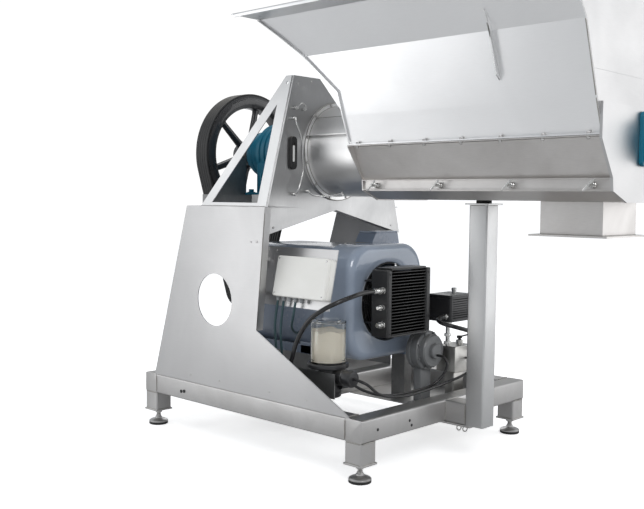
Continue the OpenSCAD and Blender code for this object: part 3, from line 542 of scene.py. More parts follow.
# ---------------------------------------------------------------- side panels and tower sides
# 4 mm stainless sheet, laser cut, ground to a satin grain and bolted or rivetted on.  The sheets
# keep the CAD's shape; hems, rivets, screws and the weld along each fold are added here.
satin_sheet = finish("satin_sheet", (0.60, 0.595, 0.595), (0.445, 0.442, 0.445), 0.33, 1.0,
                     grain=(1, 1, 26), grain_size=22, depth=0.0001, cloud_size=1.7, cloud=0.5)
upright_sheet = finish("upright_sheet", (0.74, 0.74, 0.74), (0.55, 0.55, 0.555), 0.31, 1.0,
                       grain=(22, 22, 1), grain_size=22, depth=0.0001, cloud_size=2.1, cloud=0.5)


def refinish(names, made_of):
    """CAD nodes whose shape is right keep it and take this finish."""
    for each in names:
        node[each].data.materials.clear()
        node[each].data.materials.append(made_of)


refinish(("side_panel_near",), satin_sheet)
# The far side panel and far tower side take a dark sheet colour that is painted shade for the inside of the
# machine; their upward faces also take some real dust.
far_sheet_painted_shade = finish("far_sheet_painted_shade", (0.25, 0.25, 0.255), (0.15, 0.15, 0.152), 0.46, 1.0,
                    grain=(1, 1, 20), grain_size=22, depth=0.00015, cloud_size=2.0, cloud=0.7, dust=0.25)
refinish(("side_panel_far",), far_sheet_painted_shade)
refinish(("tower_side_near",), upright_sheet)
refinish(("tower_side_far",), far_sheet_painted_shade)


def domed(place, normal, radius, height, sides=18):
    """A rivet or screw head: a shallow dome with a small flat rim, standing on place."""
    axis = int(np.argmax(np.abs(normal)))
    way = math.copysign(1, normal[axis])
    t = np.linspace(0, math.pi / 2, 6)
    profile = [(0, -2)] + [(radius, -2), (radius, height * 0.25)] + [
        (radius * 0.96 * math.cos(v), height * (0.3 + 0.7 * math.sin(v))) for v in t[:-1]] + [(0, height)]
    centre = np.array(place, float)
    profile = [(r, h * way) for r, h in profile]
    return turned(profile, centre, axis, sides)


studs = [domed((x, -670, z), (0, -1, 0), 4.5, 3.0) for x, z in
         ((-463, 1048), (-420, 1050), (-930, 330), (-700, 330), (-330, 330), (-80, 330))]
studs += [domed((x, 504, z), (0, 1, 0), 5, 3.2) for x, z in
          ((-1180, 330), (-900, 330), (-620, 330), (-560, 700), (-560, 1100), (-930, 1180))]
for side in (-1, 1):
    for x in (-640, -566):
        studs.append(domed((x, side * 520, 1219), (0, 0, 1), 5, 3.0))
make_piece("panel_rivets", studs, "frame", machined, 40)
seams = weld_bead([(-423, -666, 640), (-370, -666, 1190)], 2.2)
for side in (-1, 1):
    seams += weld_bead([(-1030, side * 510, 1220), (-534, side * 510, 1220)], 2.6)
    seams += weld_bead([(-532, side * 505, 1228), (-532, side * 332, 1886)], 2.6)
seams += weld_bead([(-1230, -665, 292), (180, -665, 292)], 2.4)
seams += weld_bead([(-1230, 505, 292), (-1106, 505, 292)], 2.4)
make_piece("sheet_welds", seams, "frame", weld_metal, 60)

# Hem: the near panel's free edges are folded back on themselves, a 6 mm round-nosed border.
hems = []
for start, end in (((-1240, 300), (-964, 1214)), ((186, 299), (-424, 618))):
    p = np.array([(start[0], -668, start[1]), (end[0], -668, end[1])]) / 1000.0
    t = np.linspace(0, 1, 12)[:, None]
    hems.append(surface(carried_ring(p[0] + t * (p[1] - p[0]), 0.0026, 10)))
make_piece("panel_hems", hems, "frame", satin_sheet, 60)

# ---------------------------------------------------------------- front plate, drive shelf
# 12 mm plate that closes the tower and carries the shaft tube; its lower edge is cut to a low
# gable with a folded lip.  Behind it two beams carry the bearing housing.
plate_steel = finish("plate_steel", (0.53, 0.53, 0.53), (0.30, 0.30, 0.305), 0.27, 1.0,
                     grain=(16, 16, 1), grain_size=26, depth=0.00012, cloud_size=2.6, cloud=0.65)
refinish(("front_plate",), plate_steel)
shelf_steel = finish("shelf_steel", (0.34, 0.34, 0.34), (0.18, 0.18, 0.18), 0.45, 1.0,
                     grain=(1, 1, 1), grain_size=60, depth=0.0003, cloud_size=4, cloud=0.8, dust=0.3)
refinish(("drive_shelf",), shelf_steel)
plate_studs = [domed((-518, y, z), (1, 0, 0), 6, 3.4) for y, z in
               ((-470, 1112), (470, 1112), (-300, 1850), (300, 1850), (-200, 1870), (200, 1870))]
for k in range(12):
    a = math.radians(15 + 30 * k)
    plate_studs.append(hexagon(13, -506, -499, (0, 251 * math.cos(a), 1515 + 251 * math.sin(a)), 0))
make_piece("plate_screws", plate_studs, "frame", machined, 30)

# ---------------------------------------------------------------- shaft tube, trough and bar cage
# The tube is rolled from 5 mm sheet and seam welded.  The trough is folded from 4 mm sheet to the
# pan's width; a ring flange bolts the tube to the tower.  The trough's sheet is mottled and darker
# than the tube and the hopper above it: the darker tone is painted shade.
tube_sheet = finish("tube_sheet", (0.93, 0.925, 0.92), (0.70, 0.695, 0.69), 0.34, 1.0,
                    grain=(20, 1, 1), grain_size=20, depth=0.00012, cloud_size=2.4, cloud=0.6)
refinish(("shaft_tube",), tube_sheet)


def folded(points, thick, bend, arc=5):
    """Outline of a bent sheet: the points of its middle line, each inner corner replaced by an
    arc of radius bend, then the line shifted half a thickness to both sides and closed."""
    p = np.asarray(points, float)
    line = [p[0]]
    for before, corner, after in zip(p[:-2], p[1:-1], p[2:]):
        u, v = before - corner, after - corner
        lu, lv = np.linalg.norm(u), np.linalg.norm(v)
        u, v = u / lu, v / lv
        half = math.acos(np.clip(np.dot(u, v), -1, 1)) / 2
        cut = min(bend / math.tan(half), 0.45 * lu, 0.45 * lv)
        t = np.linspace(0, 1, arc)[:, None]
        line += list((1 - t) ** 2 * (corner + cut * u) + 2 * t * (1 - t) * corner
                     + t ** 2 * (corner + cut * v))
    line.append(p[-1])
    line = np.array(line)
    slope = np.gradient(line, axis=0)
    slope /= np.linalg.norm(slope, axis=1)[:, None]
    normal = np.stack([-slope[:, 1], slope[:, 0]], -1) * thick / 2
    return np.concatenate([line + normal, (line - normal)[::-1]])


def drawn(outline, stations, axis=0):
    """The outline carried along axis through the stations, both in millimetres, ends closed.  A
    station may be an array with one value for each point of the outline, for a slanted cut."""
    outline = np.asarray(outline, float)
    a, b = [(1, 2), (2, 0), (0, 1)][axis]
    grid = np.empty((len(stations), len(outline), 3))
    for i, place in enumerate(stations):
        grid[i, :, axis] = place
        grid[i, :, a], grid[i, :, b] = outline[:, 0], outline[:, 1]
    return surface(grid / 1000.0)


def both_sides(outline):
    """The same outline left and right of the shaft's plane."""
    outline = np.asarray(outline, float)
    return [outline, (outline * (-1, 1))[::-1]]


def holed_plate(edge, centre, hole, low, high, axis=0, around=96):
    """A flat plate with a round hole: rays from the hole's centre, first through every corner of
    the edge and evenly between, run from the hole's rim to where each first meets the edge."""
    edge, centre = np.asarray(edge, float), np.asarray(centre, float)
    p, q = edge, np.roll(edge, -1, 0)
    corner_turn = np.arctan2(*(edge - centre).T[::-1]) % (2 * math.pi)
    turn = np.unique(np.round(np.concatenate([corner_turn, np.linspace(0, 2 * math.pi, around,
                                                                       endpoint=False)]), 5))
    ray_way = np.stack([np.cos(turn), np.sin(turn)], -1)[:, None]
    d = (q - p)[None]
    cross = ray_way[..., 0] * d[..., 1] - ray_way[..., 1] * d[..., 0]
    cross = np.where(np.abs(cross) < 1e-9, 1e-9, cross)
    w = (p - centre)[None]
    reach = (w[..., 0] * d[..., 1] - w[..., 1] * d[..., 0]) / cross
    part = (w[..., 0] * ray_way[..., 1] - w[..., 1] * ray_way[..., 0]) / cross
    reach = np.where((reach > 0) & (part > -1e-4) & (part < 1 + 1e-4), reach, np.inf).min(1)
    rim = centre + hole * ray_way[:, 0]
    out = centre + reach[:, None] * ray_way[:, 0]
    a, b = [(1, 2), (2, 0), (0, 1)][axis]
    grid = np.empty((4, len(turn), 3))
    for i, (ring, place) in enumerate(((rim, low), (out, low), (out, high), (rim, high))):
        grid[i, :, axis] = place
        grid[i, :, a], grid[i, :, b] = ring[:, 0], ring[:, 1]
    return surface(grid / 1000.0, ring=True, lids=False)


trough_x0, trough_x1, shaft_z = -56, 1214, 1515
# Darker than the tube's and the hopper's sheet: painted shade below the hopper.
trough_sheet_painted_shade = finish("trough_sheet_painted_shade", (0.68, 0.66, 0.645), (0.50, 0.48, 0.465), 0.34, 1.0,
                      grain=(1, 10, 10), grain_size=30, depth=0.00018, cloud_size=2.8, cloud=0.75,
                      rough_swing=0.12)
wall = folded([(426, 1512), (387, 1512), (303, 1353), (303, 1308), (319, 1308)], 4, 5)
ledge = folded([(303, 1352), (325, 1352)], 4, 2)
trough_parts = []
for side in both_sides(wall) + both_sides(ledge):
    trough_parts.append(drawn(side, np.linspace(trough_x0, trough_x1, 9)))
half_ring = [(235 * math.cos(a), 1515 - 235 * math.sin(a)) for a in np.linspace(0.004, math.pi - 0.004, 40)]
end_outline = ([(426, 1515)] + half_ring
               + [(-426, 1515), (-426, 1509), (-317, 1354), (-313, 1302), (-200, 1258), (200, 1258),
                  (313, 1302), (317, 1354), (426, 1509)])
trough_parts.append(drawn(end_outline, (trough_x0 - 6, trough_x0)))
make_piece("trough_sheets", trough_parts, "frame", trough_sheet_painted_shade, 25, ("trough",), 0.0006)
ring_weld = []
for radius, x in ((240, -62), (240, -506), (261, -506)):
    turn = np.linspace(0, 2 * math.pi, 145)
    bead = np.stack([x + 0 * turn, radius * np.cos(turn), shaft_z + radius * np.sin(turn)], -1) / 1000.0
    scale = 0.0026 * (1 + 0.2 * np.abs(np.sin(turn * 72)))
    ring_weld.append(surface(carried_ring(bead, scale, 6)[:-1], ring=True, lids=False))
ring_weld += weld_bead([(-500, -170, 1684.7), (-70, -170, 1684.7)], 1.6)
make_piece("tube_welds", ring_weld, "frame", weld_metal, 60)
refinish(("end_plate",), satin_sheet)
cage_steel = finish("cage_steel", (0.52, 0.50, 0.47), (0.30, 0.27, 0.24), 0.30, 1.0,
                    grain=(1, 8, 8), grain_size=40, depth=0.0002, cloud_size=6, cloud=0.8, dust=0.4)
refinish(("bar_cage",), cage_steel)

# ---------------------------------------------------------------- feed hopper
# Two folded sides from one 5 mm sheet each: bolted foot flange, three flats and a flat rim with a
# turned-down lip.  A flat sheet closes the discharge end, a sloping one the inlet end.
hopper_sheet = finish("hopper_sheet", (0.90, 0.90, 0.905), (0.74, 0.74, 0.745), 0.30, 1.0,
                      grain=(1, 12, 12), grain_size=26, depth=0.0001, cloud_size=1.5, cloud=0.45)
side_line = [(426, 1518), (400, 1518), (452.3, 1654), (552.3, 1932), (694, 2102), (867.5, 2102),
             (867.5, 2085)]


def inlet_cut(z):
    """Where the hopper's inlet end stands at height z: plumb to 1757 and then leaning out."""
    slant = trough_x0 - (np.asarray(z, float) - 1757) * (323 / 343)
    return np.where(z <= 1757, trough_x0, np.where(z > 2097, -388, slant))


hopper_parts = []
for outline in both_sides(folded(side_line, 5, 7, 6)):
    first, last = inlet_cut(outline[:, 1]), trough_x1
    hopper_parts.append(drawn(outline, [first + t * (last - first) for t in np.linspace(0, 1, 15)]))


def half_width(z):
    """Half the hopper's outside width at height z."""
    return np.interp(z, [1515, 1654, 1932, 2100], [400, 455, 555, 697])


def end_sheet(levels, place, thick, trim=2.0):
    """A sheet right across the hopper: at each level it spans the width, and its two faces stand
    thick apart along the shaft.  place gives the outer face's X at a level."""
    rows = []
    for z in levels:
        y, x = float(half_width(z)) - trim, float(place(z))
        rows.append([(x, -y, z), (x, y, z), (x + thick, y, z), (x + thick, -y, z)])
    return surface(np.array(rows) / 1000.0)


def arched_end(x, radius, thick, top=1757):
    """The lowest part of an end sheet, cut round the shaft tube by half a circle."""
    t = np.linspace(math.pi, 0, 41)
    arch = np.stack([radius * np.cos(t), shaft_z + radius * np.sin(t)], -1)
    edge = [(-398, 1515.5)] + arch.tolist() + [(398, 1515.5), (453, 1654),
                                               (float(half_width(top)) - 2, top),
                                               (-float(half_width(top)) + 2, top), (-453, 1654)]
    return drawn(edge, (x, x + thick))


hopper_parts.append(arched_end(trough_x0, 235, 5))
hopper_parts.append(end_sheet(np.array([1757, 1850, 1932, 2020, 2100]), inlet_cut, 6))
discharge_end = [arched_end(trough_x1 - 5, 52, 5),
                 end_sheet(np.array([1757, 1850, 1932, 2020, 2100]), lambda z: trough_x1 - 5, 5)]
make_piece("hopper_end", discharge_end, "frame", satin_sheet, 22, (), 0.0005)
hopper_parts.append(boxed((trough_x1 - 5, -870, 2100), (trough_x1, 870, 2105), 1, axis=1))
hopper_parts.append(boxed((-388, -870, 2100), (-380, 870, 2105), 1, axis=1))
make_piece("hopper_sheets", hopper_parts, "frame", hopper_sheet, 22, ("hopper",), 0.0005)

# Raised edge strip that frames the inlet end, and the two gussets half way along.
edge_strip = []
for side in (-1, 1):
    z = np.array([1521, 1600, 1654, 1757, 1850, 1932, 2020, 2098], float)
    y = half_width(z)
    x = inlet_cut(z) - 3
    rows = np.stack([np.stack([x - 3.5, side * (y - 1), z], -1), np.stack([x - 3.5, side * (y + 12), z],
                                                                          -1),
                     np.stack([x + 3.5, side * (y + 12), z], -1), np.stack([x + 3.5, side * (y - 1), z],
                                                                           -1)], 1)
    edge_strip.append(surface(rows / 1000.0))
    z = np.array([1742, 1760, 1800, 1870, 1932, 1990, 2000], float)
    y = half_width(z)
    deep = np.interp(z, [1742, 1760, 1932, 2000], [6, 25, 25, 10])
    rows = np.stack([np.stack([811 + 0 * z, side * (y - 2), z], -1),
                     np.stack([811 + 0 * z, side * (y + deep), z], -1),
                     np.stack([817 + 0 * z, side * (y + deep), z], -1),
                     np.stack([817 + 0 * z, side * (y - 2), z], -1)], 1)
    edge_strip.append(surface(rows / 1000.0))
bright_edge = finish("bright_edge", (0.88, 0.88, 0.88), (0.7, 0.7, 0.7), 0.24, 1.0, grain=(8, 8, 1),
                     grain_size=40, depth=0.00008, cloud_size=9, cloud=0.4)
make_piece("hopper_edges", edge_strip, "frame", bright_edge, 25, broken=0.0008)
hopper_seams = []
for side in (-1, 1):
    for z0, z1 in ((1524, 1650), (1658, 1928)):
        hopper_seams += weld_bead([(814, side * float(half_width(z) + 3), z) for z in (1744, 1992)], 3.0)
        hopper_seams += weld_bead([(trough_x1 - 3, side * float(half_width(z)), z) for z in (z0, z1)], 2.6)
make_piece("hopper_welds", hopper_seams, "frame", weld_metal, 60)

# M8 bolts with washers and nuts along both joint flanges, and a thin black gasket between them.
bolts = []
for i in range(7):
    for side in (-1, 1):
        at = (trough_x0 + 50 + 195 * i, side * 416, 0)
        bolts += [turned([(0, 1521), (8.4, 1521), (8.4, 1522.6), (0, 1522.6)], at, 2, 24),
                  hexagon(13, 1522.6, 1528.5, at), threaded(4, 1497, 1509, at, 1.25, 12),
                  hexagon(13, 1500.8, 1507.2, at),
                  turned([(0, 1507.2), (8.4, 1507.2), (8.4, 1509), (0, 1509)], at, 2, 24)]
make_piece("flange_bolts", bolts, "frame", machined, 30, ("joint_bolts",))
gasket = []
for side in (-1, 1):
    gasket.append(boxed((trough_x0 - 4, side * 402, 1513.6), (trough_x1 - 2, side * 425.4, 1516.4), 1,
                        axis=0))
make_piece("flange_gasket", gasket, "frame", sole_rubber, 40)

# ---------------------------------------------------------------- main motor
# Square-bodied motor under grey-blue enamel: a pressed cowl with a wire grille at the fan end, a
# cast end bell at the belt end, bolted feet and a terminal box with a gasketed lid.
enamel = finish("motor_enamel", (0.235, 0.285, 0.375), (0.185, 0.225, 0.305), 0.24, 0.0,
                grain_size=70, depth=0.00035, cloud_size=3.0, cloud=0.55, rough_swing=0.08,
                coat=0.55, dust=0.22)
cowl_enamel = finish("cowl_enamel", (0.36, 0.425, 0.53), (0.27, 0.325, 0.42), 0.20, 0.0,
                     grain_size=80, depth=0.0003, cloud_size=3.4, cloud=0.6, rough_swing=0.08,
                     coat=0.8, dust=0.1)
motor_z, body_half, cowl_half = 735, 280, 295


def squared_circle(half, corner, turn):
    """Distance from the centre to a square of that half width with round corners, at each turn:
    the flat's 1 / cos, or where the ray meets the corner's circle."""
    t = (turn + math.pi / 4) % (math.pi / 2) - math.pi / 4
    flat = half / np.cos(t)
    c = half - corner
    t = np.abs(t)
    along = c * (np.cos(t) + np.sin(t))
    arc = along + np.sqrt(np.maximum(along ** 2 - 2 * c ** 2 + corner ** 2, 0))
    return np.where(np.tan(t) * half <= c, flat, arc)


def cased(rows, z, columns=120):
    """A casing round the motor's line: each row is (X, half width, corner radius); a corner as
    large as the half width gives a circle."""
    turn = np.linspace(0, 2 * math.pi, columns, endpoint=False)
    grid = []
    for x, half, corner in rows:
        r = squared_circle(half, min(corner, half - 1e-3), turn)
        grid.append(np.stack([x + 0 * turn, r * np.cos(turn), z + r * np.sin(turn)], -1))
    return np.array(grid) / 1000.0


quarter = np.linspace(0, math.pi / 2, 9)
cowl_rows = [(-326, cowl_half, 140), (-322, cowl_half, 140)]
cowl_rows += [(-188 + 42 * math.sin(t), cowl_half - 42 * (1 - math.cos(t)), 140 - 20 * (1 - math.cos(t)))
              for t in quarter]
cowl_rows += [(-145.6, 230, 200), (-146, 209, 209), (-149, 205, 205), (-158, 205, 205), (-160, 215, 205),
              (-190, cowl_half - 12, 132), (-326, cowl_half - 6, 134)]
make_piece("cowl_shell", [surface(cased(cowl_rows, motor_z), ring=True, lids=False)], "frame", cowl_enamel,
           40, ("fan_cowl",))
wires_made = []
for radius in range(46, 205, 17):
    turn = np.linspace(0, 2 * math.pi, 73)
    hoop = np.stack([-150 + 0 * turn, radius * np.cos(turn), motor_z + radius * np.sin(turn)], -1) / 1000.0
    wires_made.append(surface(carried_ring(hoop, 0.0022, 8)[:-1], ring=True, lids=False))
for a in np.radians((0, 60, 120)):
    ends = np.array([[-154, -207 * math.cos(a), motor_z - 207 * math.sin(a)],
                     [-154, 207 * math.cos(a), motor_z + 207 * math.sin(a)]]) / 1000.0
    wires_made.append(surface(carried_ring(ends[0] + np.linspace(0, 1, 9)[:, None] * (ends[1] - ends[0]),
                                           0.003, 8)))
grille_black = finish("grille_black", (0.014, 0.014, 0.015), (0.035, 0.035, 0.036), 0.34, coat=0.2,
                      grain_size=140, depth=0.0002)
make_piece("cowl_grille", wires_made, "frame", grille_black, 60)

bell = [(-1030, 60, 60), (-1030, 116, 116), (-1026, 120, 120), (-1002, 122, 122), (-1000, 150, 150),
        (-999, 222, 222), (-995, 230, 230), (-968, 232, 232), (-960, 240, 238)]
shell = [(-960, 262, 132), (-952, 274, 131), (-940, body_half, 130), (-700, body_half, 130),
         (-697, body_half - 2.5, 129), (-693, body_half - 2.5, 129), (-690, body_half, 130),
         (-360, body_half, 130), (-356, body_half - 2.5, 129), (-326.5, body_half - 2.5, 129)]
motor_parts = [surface(cased(bell + shell, motor_z))]
for y0, y1 in ((-290, -200), (200, 290)):
    for x0, x1 in (((-1000, -900), (-500, -400)) if y0 < 0 else ((-1000, -900), (-400, -326.5))):
        motor_parts.append(boxed((x0, y0, 455), (x1, y1, 515), 8, 3, axis=2))
        motor_parts.append(hexagon(24, 515, 527, ((x0 + x1) / 2, (y0 + y1) / 2, 0)))
motor_parts.append(boxed((-1000, -290, 455), (-400, -262, 500), 6, 2, axis=2))
motor_parts.append(boxed((-400, 215, 424), (-200, 275, 440), 4, 1.5, axis=2))
motor_parts.append(boxed((-400, 215, 440), (-326.5, 275, 460), 4, 1.5, axis=2))
for k in range(8):
    a = math.radians(22.5 + 45 * k)
    motor_parts.append(hexagon(18, -1008, -999, (0, 200 * math.cos(a), motor_z + 200 * math.sin(a)), 0))
for k in range(4):
    a = math.radians(45 + 90 * k)
    motor_parts.append(hexagon(16, -972, -962, (0, 288 * math.cos(a), motor_z + 288 * math.sin(a)), 0))
make_piece("motor_shell", motor_parts, "frame", enamel, 32, ("motor_body",))
box_outline = [(60, 1030.5), (290, 1012.5), (290, 1018), (275, 1078), (270, 1080), (95, 1080), (89, 1078)]
box_parts = [drawn(box_outline, (-430, -310)), boxed((-430, 92, 1080), (-310, 276, 1090), 5, 2, axis=2)]
for x in (-418, -322):
    for y in (104, 264):
        box_parts.append(domed((x, y, 1088), (0, 0, 1), 5, 2))
make_piece("terminal_box", box_parts, "frame", enamel, 30, ("motor_box",), 0.002)
refinish(("motor_rails",), shelf_steel)
cowl_screws = []
for k in range(8):
    t = math.radians(22.5 + 45 * k)
    r = float(squared_circle(cowl_half, 140, np.array([t]))[0])
    side = np.array((math.cos(t), math.sin(t)))
    main = int(np.argmax(np.abs(side)))
    at = [-338, r * side[0], motor_z + r * side[1]]
    cowl_screws.append(domed(at, (0, side[0] if main == 0 else 0, side[1] if main else 0), 5.5, 3.0))
make_piece("cowl_screws", cowl_screws, "frame", machined, 40)
refinish(("motor_shaft",), machined)
fan_plastic = finish("fan_plastic", (0.02, 0.02, 0.021), (0.04, 0.04, 0.04), 0.5, grain_size=90,
                     depth=0.0003, dust=0.4)
refinish(("motor_fan",), fan_plastic)

# ---------------------------------------------------------------- oil cooler
# Brazed aluminium bar-and-plate cooler, powder coated black: flat bars with corrugated fins
# between, a tank down each side, and three steel ports on the near tank.
coat_black = finish("coat_black", (0.017, 0.017, 0.018), (0.04, 0.04, 0.042), 0.40, grain_size=260,
                    depth=0.0003, cloud_size=8, cloud=0.6, dust=0.12, coat=0.1)
core, zig = [], np.tile([0.0, 1.0, 1.0, 0.0], 23)
zag = np.repeat(np.arange(46), 2) * 5.95 - 198.5
for i in range(21):
    low = 596 + 15.3 * i
    core.append(boxed((-56, -200, low), (40, 75, low + 4.6), 2.0, 1.2, axis=1))
for i in range(20):
    low, high = 600.8 + 15.3 * i, 611.1 + 15.3 * i
    depth = np.linspace(-52, 36, 3)
    row_z = low + (high - low) * zig
    top = np.stack([np.broadcast_to(depth[:, None], (3, len(zig))), np.broadcast_to(zag, (3, len(zig))),
                    np.broadcast_to(row_z, (3, len(zig)))], -1) / 1000.0
    thin = top - (0, 0.0007, 0)
    round_fin = np.r_[0:len(zig), 2 * len(zig) - 1:len(zig) - 1:-1]
    core.append(surface(np.concatenate([top, thin], axis=1)[:, round_fin]))
make_piece("cooler_fins", core, "frame", coat_black, 30, ("cooler_core",))
case = [boxed((-61, -235, 586), (44, -200, 916), 8, 5, axis=2), boxed((-61, 75, 592), (44, 110, 918), 8, 5,
                                                                      axis=2),
        boxed((-61, -200, 914.5), (39, 75, 926), 3, 1.5, axis=1), boxed((-61, -200, 584), (39, 75, 594.5),
                                                                        3, 1.5, axis=1)]
for y in (-190, 35):
    for z in (640, 850):
        case.append(boxed((-146, y, z), (-56, y + 30, z + 8), 2, 1, axis=0))
for y in (-218, 92):
    for z in (606, 896):
        case.append(domed((44, y, z), (1, 0, 0), 5, 3))
make_piece("cooler_tanks", case, "frame", coat_black, 32, ("cooler_case",))
ports = []
for z, size in ((818, 32), (735, 24), (650, 32)):
    ports.append(turned([(0, -234), (size * 0.56, -234), (size * 0.56, -239), (size * 0.5, -240),
                         (0, -240)], (14, 0, z), 1, 32))
    ports.append(hexagon(size, -256, -240, (14, 0, z), 1))
    ports.append(turned([(0, -256), (size * 0.40, -256), (size * 0.42, -258), (size * 0.42, -266),
                         (size * 0.34, -268), (size * 0.34, -276), (0, -276)], (14, 0, z), 1, 32))
ports.append(turned([(0, -270), (13.2, -270), (14.0, -272), (14.0, -279), (12.6, -281), (14.0, -283),
                     (14.0, -290),
                     (12.6, -292), (14.0, -294), (14.0, -301), (12.4, -304), (11.2, -306), (0, -306)],
                     (14, 0, 818), 1, 32))
# riser, unions and the filter's outlet on the hydraulic side
ports += [turned([(0, 490), (11, 490), (11, 630), (0, 630)], (20, 300, 0), 2, 28),
          hexagon(36, 498, 514, (20, 300, 0)),
          hexagon(32, 540, 556, (20, 300, 0)), hexagon(36, 606, 624, (20, 300, 0)),
          turned([(0, 200), (13, 200), (13, 190), (11, 188), (11, 176), (0, 176)], (84, 0, 660), 1, 28),
          hexagon(28, 182, 192, (84, 0, 660), 1),
          turned([(0, 770), (12, 770), (12, 780), (14, 781), (14, 794),
                                                         (12, 796), (0, 796)], (20, 350, 0), 2, 28)]
zinc = finish("zinc_plate", (0.72, 0.72, 0.71), (0.46, 0.45, 0.43), 0.22, 1.0, grain_size=50, depth=0.0001,
              cloud_size=18, cloud=0.7)
make_piece("hose_unions", ports, "frame", zinc, 30, ("hose_fittings",))

# ---------------------------------------------------------------- junction box
# Moulded ivory box with a screwed lid on a tilted stainless plate; five cable glands underneath.
tilt = math.radians(12)


def leaned(patch):
    """A patch turned with the junction plate: 12 degrees about the line Y -540, Z 875."""
    points, faces = patch
    y, z = points[:, 1] + 0.540, points[:, 2] - 0.875
    out = points.copy()
    out[:, 1] = -0.540 + y * math.cos(tilt) + z * math.sin(tilt)
    out[:, 2] = 0.875 - y * math.sin(tilt) + z * math.cos(tilt)
    return out, faces


ivory_shell = finish("ivory_moulding", (0.94, 0.93, 0.89), (0.87, 0.86, 0.81), 0.34, grain_size=320,
                     depth=0.00012, cloud_size=6, cloud=0.5, dust=0.05, coat=0.1)
box_made = [boxed((-372, -571, 778), (-30, -544, 976), 12, 1.5, axis=1),
            boxed((-369, -573.5, 781), (-33, -570, 973), 10, 0, axis=1),
            boxed((-372, -596, 778), (-30, -573.5, 976), 12, 5, axis=1)]
make_piece("box_moulding", [leaned(patch) for patch in box_made], "frame", ivory_shell,
           40, ("junction_box",))
lid_screws = [leaned(domed((x, -595, z), (0, -1, 0), 6, 2.2)) for x in (-358, -44) for z in (792, 962)]
make_piece("box_screws", lid_screws, "frame", zinc, 40)
glands = []
for x in (-350, -310, -270, -230, -190):
    glands.append(leaned(hexagon(20, 772, 778, (x, -570, 0))))
    glands.append(leaned(turned([(0, 772), (9, 772), (10, 770), (10, 763), (8.6, 759), (6.5, 757.5),
                                 (0, 757.5)],
                                (x, -570, 0), 2, 24)))
gland_grey = finish("gland_grey", (0.30, 0.31, 0.32), (0.22, 0.23, 0.24), 0.42, grain_size=200,
                    depth=0.0002, cloud_size=14)
make_piece("cable_glands", glands, "frame", gland_grey, 32)
refinish(("junction_plate",), satin_sheet)
plate_rivets = [leaned(domed((x, -544, z), (0, -1, 0), 4.5, 2.4)) for x in (-500, -440) for z in (760, 880,
                                                                                                  1005)]
make_piece("junction_rivets", plate_rivets, "frame", machined, 40)

# ---------------------------------------------------------------- belt drive
# Cast iron pulley with five V grooves and six tapered arms, keyed to the rotor shaft, and a
# banded belt: five rubber V ribs under one fabric-backed top that bridges them.
def hooped(profile, centre, axis=0, sides=96):
    """A ring with a hole through it: a closed outline of (radius, height) pairs, in millimetres,
    swept once round the axis on centre."""
    points, faces = turned(profile, centre, axis, sides)
    return surface(points.reshape(len(profile), sides, 3), ring=True, lids=False)


groove_pitch, belt_x0 = 19.2, -1284
groove_line = []
for k in range(5):
    mid = belt_x0 + groove_pitch * (k + 0.5)
    groove_line += [(345, mid - 9.3), (344.6, mid - 8.9), (334.4, mid - 5.5), (334.4, mid + 5.5),
                    (344.6, mid + 8.9), (345, mid + 9.3)]
rim = ([(343, -1286), (345, -1285)] + groove_line + [(345, -1187), (343, -1186), (300, -1186), (292, -1190),
       (277, -1200), (275, -1206), (275, -1266), (277, -1272), (292, -1282), (300, -1286)])
hub = [(45.3, -1290), (70, -1290), (75, -1285), (76, -1262), (79, -1254), (79, -1218), (76, -1210),
       (75, -1184),
       (70, -1178), (45.3, -1178)]
pulley_parts = [hooped(rim, (0, 0, shaft_z), 0, 160), hooped(hub, (0, 0, shaft_z), 0, 64)]
for k in range(6):
    way = math.radians(18 + 60 * k)
    out = np.linspace(70, 282, 15)
    flare = 9 * np.exp(-((out - 70) / 16) ** 2) + 10 * np.exp(-((282 - out) / 16) ** 2)
    wide, deep = 24 - 5 * (out - 70) / 212 + flare, 15 - 2.5 * (out - 70) / 212 + flare * 0.3
    turn = np.linspace(0, 2 * math.pi, 28, endpoint=False)
    across = wide[:, None] * np.cos(turn)
    arm = np.stack([-1236 + deep[:, None] * np.sin(turn),
                    out[:, None] * math.cos(way) - across * math.sin(way),
                    shaft_z + out[:, None] * math.sin(way) + across * math.cos(way)], -1)
    pulley_parts.append(surface(arm / 1000.0))
for k in range(3):
    a = math.radians(30 + 120 * k)
    pulley_parts.append(turned([(0, -1292), (6, -1292), (8, -1290), (8, -1286), (0, -1286)],
                               (0, 60 * math.cos(a), shaft_z + 60 * math.sin(a)), 0, 20))
cast_black = finish("cast_black", (0.016, 0.016, 0.018), (0.034, 0.034, 0.036), 0.24, grain_size=110,
                    depth=0.0005, cloud_size=9, cloud=0.7, coat=0.5, dust=0.12, grit=0.3)
make_piece("grooved_pulley", pulley_parts, "rotor", cast_black, 28, ("big_pulley",))

wrap = math.acos((345 - 122) / 780)
section = []
for k in range(5):
    x = belt_x0 + groove_pitch * k
    section += [(x + 0.5, 10.2), (x + 2.2, 12), (x + 17, 12), (x + 18.7, 10.2)]
for k in range(4, -1, -1):
    mid = belt_x0 + groove_pitch * (k + 0.5)
    section += [(mid + 8.3, 1.2), (mid + 4.6, -8), (mid - 4.6, -8), (mid - 8.3, 1.2)]
section = np.array(section)
loop = [(345, shaft_z, t) for t in np.linspace(wrap, 2 * math.pi - wrap, 90)]
loop += [(122, 735, t) for t in np.linspace(-wrap, wrap, 50)]
band = np.array([[(x, (r + h) * math.sin(t), z - (r + h) * math.cos(t)) for x, h in section]
                 for r, z, t in loop])
belt_rubber = finish("belt_rubber", (0.016, 0.016, 0.017), (0.034, 0.033, 0.032), 0.5, grain=(40, 1, 1),
                     grain_size=30, depth=0.0003, cloud_size=12, cloud=0.7, dust=0.3)
make_piece("banded_belt", [surface(band / 1000.0, ring=True, lids=False)], "frame", belt_rubber,
           30, ("drive_belt",))

